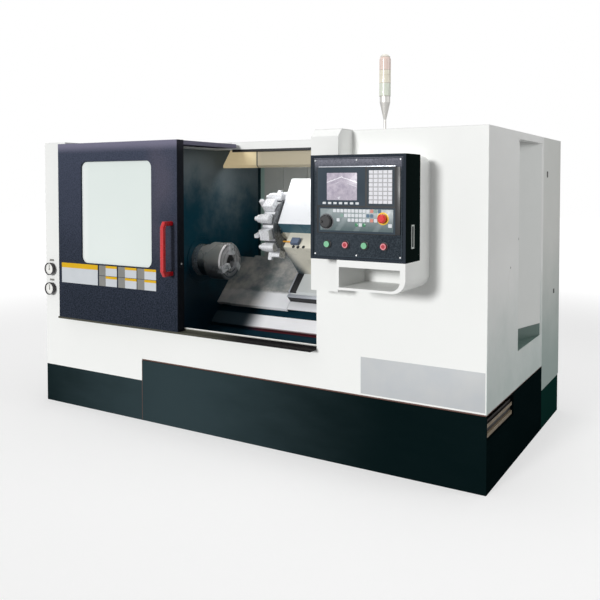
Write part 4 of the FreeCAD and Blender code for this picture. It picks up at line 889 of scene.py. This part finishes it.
def boxFinish():
    look = Finish("boxFinish", boxLook, Specular_IOR_Level=0)
    tint = look.layered(
        "paint", ("shade", look.noise(150, 4, 0.65)), ("rim", look.y.below("rimAt") * 0.9),
        ("port", look.x.above("portAt")))
    cast(look, tint, 0.45, 0.0003)


# pale keys that stand out of a grey field with a dark border
keypadLook = {
    "key": tone(236, 236, 240), "keyShade": tone(216, 216, 222), "field": tone(178, 178, 180),
    "border": tone(46, 56, 64), "borderWide": 0.012, "raised": 0.0012}


def keypadFinish():
    look = Finish("keypadFinish", keypadLook, Specular_IOR_Level=0.2)
    low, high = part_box("keypad")
    mottle = look.noise(60, 3, 0.6)
    raised = look.y.below(low[1] + keypadLook["raised"])
    rims = []
    for place, start, end in ((look.x, low[0], high[0]), (look.z, low[2], high[2])):
        half = (end - start) / 2
        rims.append((place - (start + half)).size().above(half - keypadLook["borderWide"]))
    keys = look.blend("key", "keyShade", mottle)
    tint = look.layered("field", ("border", rims[0].most(rims[1])), (keys, raised))
    look.close(tint, mottle, (0.4, 0.5), look.noise(500), 0.00015)


# switched-off screen: mauve grey, with reflected light in two slanting streaks and specks along the foot
screenLook = {
    "glass": (0.169, 0.136),
    "left": 0.054,
    "foot": 0.027,
    "grey": tone(196, 188, 200),
    "greyShade": tone(166, 158, 174),
    "light": tone(238, 236, 242),
    "sheet": (0.0006, 0.001, 0.0003),
    "corner": 0.004,
    "peak": (0.955, 1.585),
    "fall": 0.34,
    "second": 0.02,
    "specks": (1.5, 1.478),
}


def glassFinish():
    look = Finish("glassFinish", screenLook, Specular_IOR_Level=0.2)
    x, z = look.x, look.z
    peakX, peakZ = screenLook["peak"]
    cloud = look.noise(40, 5, 0.7)
    bent = z + (x - peakX).size() * screenLook["fall"] + (cloud - 0.5) * 0.016 - peakZ
    streak = look.span(bent.size(), 0.0034, 0.0008)
    second = look.span((bent + screenLook["second"]).size(), 0.0026, 0.0006) * 0.7
    foot = look.span(z, "specks") * look.span(cloud, 0.52, 0.66)
    light = streak + second * look.span(cloud, 0.45, 0.6) + foot * 0.8
    tint = look.layered("grey", ("greyShade", look.span(cloud, 0.35, 0.65)), ("light", light))
    look.close(tint, cloud, (0.22, 0.34))


# key field of the lower panel: pale grey, greener and darker low down, with slanting streaks
fieldLook = {"low": tone(62, 84, 86), "high": tone(152, 162, 164), "inset": (0.005, 0.02), "lean": 0.7}


def fieldFinish():
    look = Finish("fieldFinish", fieldLook, Coat_Weight=0.15, Coat_Roughness=0.3)
    mottle = look.noise(60, 5, 0.7)
    low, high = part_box("machine_panel")
    below, over = fieldLook["inset"]
    x, z = look.x, look.z
    streak = look.span(((x - z * fieldLook["lean"]) * 60 + mottle * 2).wave(), 0.3, 1)
    share = look.span(z, low[2] + below, high[2] - over) * 0.6 + mottle * 0.2 + streak * 0.25
    tint = look.blend("low", "high", share)
    look.close(tint, mottle, (0.36, 0.5), mottle, 0.0002, 0.5)


# ring scale round the handwheel: plain strokes
scaleLook = {"ring": tone(30, 32, 36), "stroke": tone(170, 174, 178), "strokes": 40}


def scaleFinish():
    look = Finish("scaleFinish", scaleLook)
    strokes = strokesRound(look, "handwheel", "strokes", 0.55, 0.8)
    tint = look.blend("ring", "stroke", strokes)
    look.close(tint, look.noise(80), (0.4, 0.5))


# finishes of one colour, by the function that makes them and the values it takes
plainFinishes = {
    castPaint: {
        "castingPaint": (tone(210, 212, 210), tone(176, 182, 184), 0.42),
        "machinePaint": (tone(88, 103, 108), tone(66, 80, 86)),
        "motorPaint": (tone(52, 56, 60), tone(36, 40, 44), 0.55),
        "blockBlue": (tone(104, 118, 142), tone(70, 84, 106)),
    },
    enamel: {
        "trayPaint": (tone(40, 66, 76), tone(22, 44, 54), 0.4, 0.0006),
        "recessPaint": (tone(236, 238, 236), tone(228, 231, 228), 0.4),
        "unitPaint": (tone(168, 172, 172), tone(146, 152, 152), 0.45),
    },
    steel: {
        "machineSteel": (tone(196, 200, 204), 0.24, (1, 14, 14), 0.45, 0.7),
        "jawSteel": (tone(216, 218, 220), 0.3, (8, 8, 8), 0.9, 0.5),
        "towerSteel": (tone(206, 204, 200), 0.34, (10, 10, 1), 0.45, 0.5),
        "brass": (tone(222, 160, 58), 0.28, (8, 8, 8), 0.6, 0.4),
        "trimSteel": (tone(196, 200, 208), 0.3, (1, 20, 20), 0.3, 0.5),
        "screwSteel": (tone(190, 192, 194), 0.25, (1, 1, 1), 0.45, 0.6),
        "foldSteel": (tone(238, 239, 242), 0.34, (0.6, 18, 18), 0.24, 0.1),
    },
    plastic: {
        "beltRubber": (tone(26, 26, 27), 0.7, 0.0004),
        "darkRubber": (tone(18, 20, 23), 0.6, 0.0003),
        "sealBrown": (tone(96, 66, 56), 0.55, 0.0003),
        "handleRed": (tone(206, 14, 26), 0.3, 0.00008, 0.2, 0.3),
        "stopRed": (tone(222, 18, 20), 0.26, 0.00008, 0.4),
        "buttonRed": (tone(176, 26, 44), 0.26, 0.00008, 0.4),
        "buttonGreen": (tone(46, 128, 86), 0.3, 0.00008, 0.3),
        "blackPlastic": (tone(22, 23, 25), 0.38, 0.0002),
        "yellowPlastic": (tone(240, 196, 30), 0.32, 0.0001, 0.3),
        "keyWhite": (tone(218, 222, 226),),
        "keyBlue": (tone(70, 104, 128),),
        "keyPink": (tone(206, 132, 116),),
        "keyGrey": (tone(128, 160, 150),),
    },
    printed: {
        "plateWhite": (tone(206, 210, 214), tone(190, 195, 200)),
        "plateYellow": (tone(222, 178, 30), tone(206, 160, 24)),
        "plateSquare": (tone(142, 142, 138), tone(122, 122, 118)),
        "plateBare": (tone(198, 199, 198), tone(182, 187, 192)),
        "paleGreen": (tone(150, 206, 170), tone(116, 184, 142), 0.3),
        "palePink": (tone(232, 158, 164), tone(214, 120, 130), 0.3),
        "bezelFilm": (tone(58, 70, 80), tone(44, 56, 66)),
    },
}
for make, kinds in plainFinishes.items():
    for name, values in kinds.items():
        make(name, *values)
for make in (casingFinish, cabinetFinish, plinthFinish, tankFinish, doorFinish, bedFinish, coverFinish,
             linerFinish, backFinish, headFinish, discFinish, chuckFinish, trackFinish, paneFinish,
             lampFinish, towerFinish, filmFinish, boxFinish, keypadFinish, glassFinish, fieldFinish,
             scaleFinish):
    make()
for node in ("pressure_gauge_1", "pressure_gauge_2"):
    gaugeFinish(node)

nodeFinish = {
    "casingFinish": "left_housing right_housing pendant_column pendant_housing",
    "recessPaint": "recess_panel",
    "cabinetFinish": "electrical_cabinet cabinet_door_1 cabinet_door_2",
    "plinthFinish": "left_plinth right_plinth",
    "tankFinish": "coolant_tank",
    "doorFinish": "door_shell",
    "bedFinish": "machine_bed",
    "castingPaint": "carriage cross_slide tailstock",
    "machinePaint": "headstock",
    "linerFinish": "headstock_wall",
    "trayPaint": "chip_tray",
    "backFinish": "back_wall",
    "headFinish": "turret_housing",
    "discFinish": "turret_disc",
    "motorPaint": "spindle_motor screw_motor",
    "boxFinish": "pendant_box",
    "unitPaint": "hydraulic_unit",
    "machineSteel": "long_screw spindle spindle_pulley motor_pulley tailstock_quill",
    "jawSteel": "chuck_jaw_1 chuck_jaw_2 chuck_jaw_3",
    "coverFinish": "left_fixed_cover left_sliding_cover right_fixed_cover right_sliding_cover",
    "trackFinish": "door_track",
    "towerSteel": "tower_pole",
    "chuckFinish": "chuck_body",
    "beltRubber": "drive_belt",
    "handleRed": "door_handle",
    "stopRed": "stop_button",
    "buttonRed": "push_button_2 push_button_4",
    "buttonGreen": "push_button_1 push_button_3",
    "blackPlastic": "handwheel gauge_needle_1 gauge_needle_2",
    "paneFinish": "door_window",
    "lampFinish": "work_lamp",
    "towerFinish": "tower_lamp",
    "pressure_gauge_1Finish": "pressure_gauge_1",
    "pressure_gauge_2Finish": "pressure_gauge_2",
    "filmFinish": "operator_panel",
    "bezelFilm": "screen_unit machine_panel",
    "keypadFinish": "keypad",
}
for material, names in nodeFinish.items():
    for name in names.split():
        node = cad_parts[name]
        node.data.materials.clear()
        node.data.materials.append(bpy.data.materials[material])
bare = set(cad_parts) - set(" ".join(nodeFinish.values()).split())
print("finishes given, left bare:", sorted(bare))


# a block with softened edges
def plate(name, low, high, edge, material, body, slot, leaning=False):
    finished(bevelled(addBlock(name, low, high, leaning), edge), material, body)


# pan heads that face along -Y: a crowned round with a socket in the middle
screwSettings = {"radius": 0.0045, "height": 0.0022, "rim": 0.45, "socket": 0.6, "edge": 0.3, "sides": 16}


def screwHeads(name, spots, body):
    radius, height = screwSettings["radius"], screwSettings["height"]
    x, y, z = spots[0]
    piece = addRound(name, (x, y - height / 2, z), radius, height, "Y", screwSettings["sides"])
    sunk(piece, "Y", radius * screwSettings["rim"], height * screwSettings["socket"])
    bevelled(piece, height * screwSettings["edge"], 40)
    repeated(piece, [Vector(spot) - Vector(spots[0]) for spot in spots[1:]])
    finished(piece, "screwSteel", body)


# flat washer with its hole, rims softened
def ringPlate(name, middle, radii, thick, axis, material, body, sides):
    inner, outer = radii
    piece = framed(addRound(name, middle, outer, thick, axis, sides), axis, outer - inner)
    finished(bevelled(piece, thick / 4, 40), material, body)


# blank plates on the door: white with a plain yellow band and a grey square
doorPlates = {
    "thick": 0.0012,
    "band": 0.24,
    "square": 0.92,
    "lift": 0.0003,
    "wide": (-1.357, -1.011),
    "columns": ((-0.998, -0.836), (-0.824, -0.662), (-0.655, -0.496)),
    "low": 0.872,
    "high": 1.008,
    "gap": 0.003,
    "strike": (-0.864, 1.053, 0.007, 0.004, 0.001),
}


def splitPlate(name, low, high, square=True):
    piece = addBlock(name, low, high)
    tall = high[2] - low[2]
    cutZ = high[2] - tall * doorPlates["band"]
    cutX = low[0] + tall * doorPlates["square"] * square
    for point, normal in (((0, 0, cutZ), (0, 0, 1)), ((cutX, 0, 0), (1, 0, 0)))[:1 + square]:
        choose(piece, "FACE", lambda face: True)
        bpy.ops.mesh.bisect(plane_co=point, plane_no=normal)
        bpy.ops.object.mode_set(mode="OBJECT")

    def banded(spot):
        return spot.z > cutZ and spot.x > cutX
    choose(piece, "FACE", lambda face: face.normal.y < -0.9 and banded(face.calc_center_median()))
    pushed((0, -doorPlates["lift"], 0))
    for face in piece.data.polygons:
        face.material_index = 1 if banded(face.center) else (2 if face.center.x < cutX else 0)
    finished(piece, "plateWhite plateYellow plateSquare", "door")


def makeDoorPlates():
    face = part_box("door_shell")[0][1]
    front = face - doorPlates["thick"]
    low, high, half = doorPlates["low"], doorPlates["high"], doorPlates["gap"] / 2
    middle = (low + high) / 2
    left, right = doorPlates["wide"]
    splitPlate("doorPlateWide", (left, front, low), (right, face, high), False)
    for number, (left, right) in enumerate(doorPlates["columns"], start=1):
        splitPlate("doorPlateLow%d" % number, (left, front, low), (right, face, middle - half))
        splitPlate("doorPlateHigh%d" % number, (left, front, middle + half), (right, face, high))
    y, z, radius, long, edge = doorPlates["strike"]
    strike = addRound("doorStrike", (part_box("door_shell")[1][0], y, z), radius, long, "X", 20)
    finished(bevelled(strike, edge), "screwSteel", "door")


# bare plate on the apron, and blank tags over the gauges
frontSettings = {
    "plate": (0.907, 1.592, 0.414, 0.614), "thick": 0.0016, "edge": 0.0005, "tag": (-1.562, -1.518),
    "tagRise": (0.01, 0.024)}


def makeFrontPlates():
    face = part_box("right_housing")[0][1]
    spots = {"frontPlate": ("plateBare", *frontSettings["plate"])}
    for number in (1, 2):
        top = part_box("pressure_gauge_%d" % number)[1][2]
        spots["gaugeTag%d" % number] = (
            "plateSquare", *frontSettings["tag"], *[top + rise for rise in frontSettings["tagRise"]])
    for name, (material, left, right, low, high) in spots.items():
        plate(name, (left, face - frontSettings["thick"], low), (right, face, high), frontSettings["edge"],
              material, "casing", "panel_film")


# operator box: soft keys, membrane keys, trims and screws, with a black strip and a dark sheet behind the
# units that are painted shadow
operator = {
    "softKeys": 7,
    "softKey": (0.019, 0.011),
    "softFirst": 0.858,
    "softPitch": 0.0308,
    "softRise": 0.012,
    "softHigh": 0.002,
    "keyPitch": (0.0205, 0.0228),
    "key": (0.0172, 0.0168),
    "keyTop": 1.4165,
    "keyLeft": 0.092,
    "keyHigh": 0.0016,
    "keyCorner": 0.18,
    "keyEdge": 0.35,
    "cornerKey": (0.02, 0.018, 0.026),
    "greenKey": (0.009, 0.002, 0.0006),
    "field": (0.01, 0.007, 0.0006),
    "trim": (0.006, 0.002, 0.005),
    "strip": (0.004, 0.03),
    "stripFoot": 0.002,
    "over": 0.001,
    "out": (0.001, 0.0005),
    "edge": 0.0008,
    "wellEdge": 0.0002,
    "bevel": (0.004, 0.0006, 0.0026),
    "rows": ("wwwwwwwwwwpgb...", "..gwwwwwwbb.....", ".w..wwwwwwpw....", "......GwG......."),
}


def makeKey(name, x, z, wide, tall, face, material, rise=operator["keyHigh"]):
    piece = addBlock(name, (x - wide / 2, face - rise, z - tall / 2), (x + wide / 2, face, z + tall / 2))
    cornered(piece, "Y", min(wide, tall) * operator["keyCorner"], 2)
    finished(bevelled(piece, rise * operator["keyEdge"], 50, 1), material, "casing")


def makeScreen():
    low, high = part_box("screen_unit")
    wide, tall = screenLook["glass"]
    left, bottom, face = low[0] + screenLook["left"], low[2] + screenLook["foot"], low[1]
    above, under, edge = screenLook["sheet"]
    glass = addBlock("screenGlass", (left, face - above, bottom), (left + wide, face + under, bottom + tall))
    cornered(glass, "Y", screenLook["corner"])
    finished(bevelled(glass, edge), "glassFinish", "casing")
    for index in range(operator["softKeys"]):
        makeKey("softKey%d" % (index + 1), operator["softFirst"] + index * operator["softPitch"],
                low[2] + operator["softRise"], *operator["softKey"], face, "keyWhite", operator["softHigh"])
    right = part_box("keypad")[1][0]
    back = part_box("operator_panel")[0][1]
    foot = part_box("machine_panel")[0][2]
    top = high[2] + operator["over"]
    trimOut, stripOut = operator["out"]
    side, gap, tall = operator["trim"]
    start, end = operator["strip"]
    plate("panelTrim", (low[0] + side, face - trimOut, high[2] + gap),
          (right + side, back, high[2] + gap + tall), operator["edge"], "trimSteel", "casing", "tower_steel")
    # painted shadow: a black strip right of the keypad, and a dark sheet behind the units that shows in the
    # gaps between them
    plate("panelStrip", (right + start, face - stripOut, foot - operator["stripFoot"]),
          (right + end, back, top), operator["edge"], "blackPlastic", "casing", "black_plastic")
    plate("panelWell", (low[0] - start, back - stripOut, foot - start), (right + start, back, top),
          operator["wellEdge"], "darkRubber", "casing", "black_plastic")


def makeMachineKeys():
    low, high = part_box("machine_panel")
    side, top, thick = operator["field"]
    face = low[1] - thick
    plate("keyField", (low[0] + side, face, low[2] + side), (high[0] - side, low[1], high[2] - top),
          thick / 2, "fieldFinish", "casing", "panel_film")
    pitchX, pitchZ = operator["keyPitch"]
    colours = {"w": "keyWhite", "p": "keyPink", "g": "keyGrey", "b": "keyBlue"}
    for row, marks in enumerate(operator["rows"]):
        z = operator["keyTop"] - row * pitchZ
        for column, mark in enumerate(marks):
            x = low[0] + operator["keyLeft"] + column * pitchX
            name = "panelKey%d_%d" % (row + 1, column + 1)
            if mark == "G":
                radius, thick, edge = operator["greenKey"]
                key = bevelled(addRound(name, (x, face - thick / 2, z), radius, thick, "Y", 24), edge, 40)
                finished(key, "buttonGreen", "casing")
            elif mark in colours:
                makeKey(name, x, z, *operator["key"], face, colours[mark])
    wide, tall, inset = operator["cornerKey"]
    makeKey("cornerKey", high[0] - inset, operator["keyTop"] - 3 * pitchZ, wide, tall, face, "keyWhite")


buttonSettings = {
    "cap": 0.015,
    "capThick": 0.0012,
    "capSet": 0.0002,
    "sunk": 0.0004,
    "hollow": 0.0052,
    "rimSlack": 0.001,
    "bezel": ((0.0166, 0.0212), 0.0015, 0.003),
    "collar": ((0.0228, 0.031), 0.0016, 0.002),
    "scale": ((0.0335, 0.0405), 0.0009, 0.001),
    "corner": 0.013,
    "green": ("paleGreen paleGreen", "green_plastic"),
    "red": ("palePink buttonRed", "red_plastic"),
    "colours": ("green", "red", "green", "red"),
}


# a ring round a node, with its middle set out from a face of the panel
def panelRing(name, node, kind, face, material, sides=40):
    radii, out, thick = buttonSettings[kind]
    x, z = middleOf(node)
    ringPlate(name, (x, face - out, z), radii, thick, "Y", material, "casing", sides)


def makeButton(number, colour, face):
    node = "push_button_%d" % number
    x, z = middleOf(node)
    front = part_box(node)[0][1] - buttonSettings["capSet"]
    radius, thick = buttonSettings["cap"], buttonSettings["capThick"]
    cap = addRound("buttonCap%d" % number, (x, front, z), radius, thick, "Y", 28)
    sunk(cap, "Y", buttonSettings["hollow"], buttonSettings["sunk"])
    materials, slot = buttonSettings[colour]
    finished(cap, materials, node)
    inner = radius - buttonSettings["hollow"] - buttonSettings["rimSlack"]
    for part in cap.data.polygons:
        out = math.dist((part.center.x, part.center.z), (x, z))
        part.material_index = 1 if out < inner else 0
    panelRing("buttonBezel%d" % number, node, "bezel", face, "blackPlastic")


def makeOperatorTrim():
    low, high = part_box("operator_panel")
    face = low[1]
    inset = buttonSettings["corner"]
    columns = (low[0] + inset, (low[0] + high[0]) / 2, high[0] - inset)
    spots = [(x, face, z) for z in (low[2] + inset, high[2] - inset) for x in columns]
    screwHeads("panelScrews", spots, "casing")
    side, thick, wide = operator["bevel"]
    bevel = addBlock(
        "panelBevel", (low[0] + side, face - thick, low[2] + side), (high[0] - side, face, high[2] - side))
    finished(framed(bevel, "Y", wide), "bezelFilm", "casing")
    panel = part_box("machine_panel")[0][1]
    panelRing("stopCollar", "stop_button", "collar", panel, "yellowPlastic")
    for number, colour in enumerate(buttonSettings["colours"], start=1):
        makeButton(number, colour, face)
    panelRing("wheelScale", "handwheel", "scale", panel, "scaleFinish", 48)


# rubber seals: under the roof edge, on the plinth and down its joint
stripSettings = {
    "roof": (-0.396, -0.2245, -0.2205, 1.771, 1.789), "set": 0.004, "thick": 0.012, "rise": 0.0098,
    "joint": (0.003, 0.0015, 0.0008), "gap": 0.001}


def makeStrips():
    left, front, back, under, top = stripSettings["roof"]
    low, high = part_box("right_plinth")
    inset, thick, rise = stripSettings["set"], stripSettings["thick"], high[2] + stripSettings["rise"]
    wide, deep, proud = stripSettings["joint"]
    edge, end = low[1] + inset, high[0] - inset
    gap = stripSettings["gap"]
    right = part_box("right_housing")[0][0] - gap
    seals = {
        "roofSeal": ((left, front, under), (right, back, top), 0.0015, "darkRubber"),
        "plinthSeal": ((low[0] + gap, edge, high[2]), (end, edge + thick, rise), 0.002, "sealBrown"),
        "sideSeal": ((end - thick, edge + thick, high[2]), (end, high[1] - inset, rise), 0.002, "sealBrown"),
        "jointSeal": ((low[0] - wide / 2, low[1] - proud, low[2] + inset),
                      (low[0] + wide / 2, low[1] + deep, high[2]), 0.0004, "sealBrown"),
    }
    for name, values in seals.items():
        plate(name, *values, "casing", "belt_rubber")


# inside, on the slant: coolant block with brass nozzle, and wipers round the cross slide's foot
insideSettings = {
    "nozzle": (0.168, 0.034, 0.0058, 0.064),
    "nozzleRim": 0.3,
    "nozzleSunk": 0.006,
    "nozzleEdge": 0.0008,
    "sockets": ((0.15, 0.138), (0.186, 0.136), (0.226, 0.139)),
    "socket": (0.021, 0.0105, 0.006, 0.0012),
    "ring": (0.146, 0.158),
    "ringThick": 0.004,
}
# leaning plates: limits along X, up the slant and off it, then edge, material and slot
leaningPlates = {
    "cross_slide": {
        "coolantBlock": ((0.126, 0.15, 0.0195), (0.188, 0.198, 0.046), 0.003, "blockBlue", "motor_paint"),
        "wiper": ((0.076, -0.03, -0.2735), (0.122, 0.128, -0.25), 0.002, "darkRubber", "belt_rubber"),
        "wiperClip": ((0.066, -0.03, -0.296), (0.076, 0.128, -0.248), 0.001, "trimSteel", "tower_steel"),
        "wiperFoot": ((0.064, -0.062, -0.298), (0.42, -0.04, -0.268), 0.002, "darkRubber", "belt_rubber"),
        "wiperFootClip": ((0.062, -0.064, -0.268), (0.422, -0.04, -0.262), 0.001, "trimSteel", "tower_steel"),
    },
    "carriage": {
        "carriageApron": ((0.052, -0.05, -0.342), (0.448, -0.019, -0.301), 0.002, "darkRubber",
                          "belt_rubber"),
        "carriageFold": ((0.051, -0.112, -0.345), (0.449, -0.048, -0.336), 0.001, "foldSteel", "cover_steel"),
    },
}


def makeInside():
    for body, plates in leaningPlates.items():
        for name, (low, high, edge, material, slot) in plates.items():
            plate(name, low, high, edge, material, body, slot, leaning=True)
    across, above, radius, left = insideSettings["nozzle"]
    right = leaningPlates["cross_slide"]["coolantBlock"][0][0]
    middle = slanted((left + right) / 2, across, above)
    nozzle = addRound("coolantNozzle", middle, radius, right - left, "X", 20)
    sunk(nozzle, "X", radius * insideSettings["nozzleRim"], insideSettings["nozzleSunk"])
    finished(bevelled(nozzle, insideSettings["nozzleEdge"]), "brass", "cross_slide")
    above, radius, long, edge = insideSettings["socket"]
    for number, (x, across) in enumerate(insideSettings["sockets"], start=1):
        head = addRound("headSocket%d" % number, slanted(x, across, above), radius, long, "slant", 20)
        finished(bevelled(head, edge), "darkRubber", "cross_slide")
    wall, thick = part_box("headstock_wall")[1][0], insideSettings["ringThick"]
    ringPlate("spindleRing", (wall + thick / 2, *bedSlant["spindle"]), insideSettings["ring"], thick, "X",
              "linerFinish", "casing", 64)


print("building pieces")
makeDoorPlates()
makeFrontPlates()
makeScreen()
makeMachineKeys()
makeOperatorTrim()
makeStrips()
makeInside()
print("pieces built")
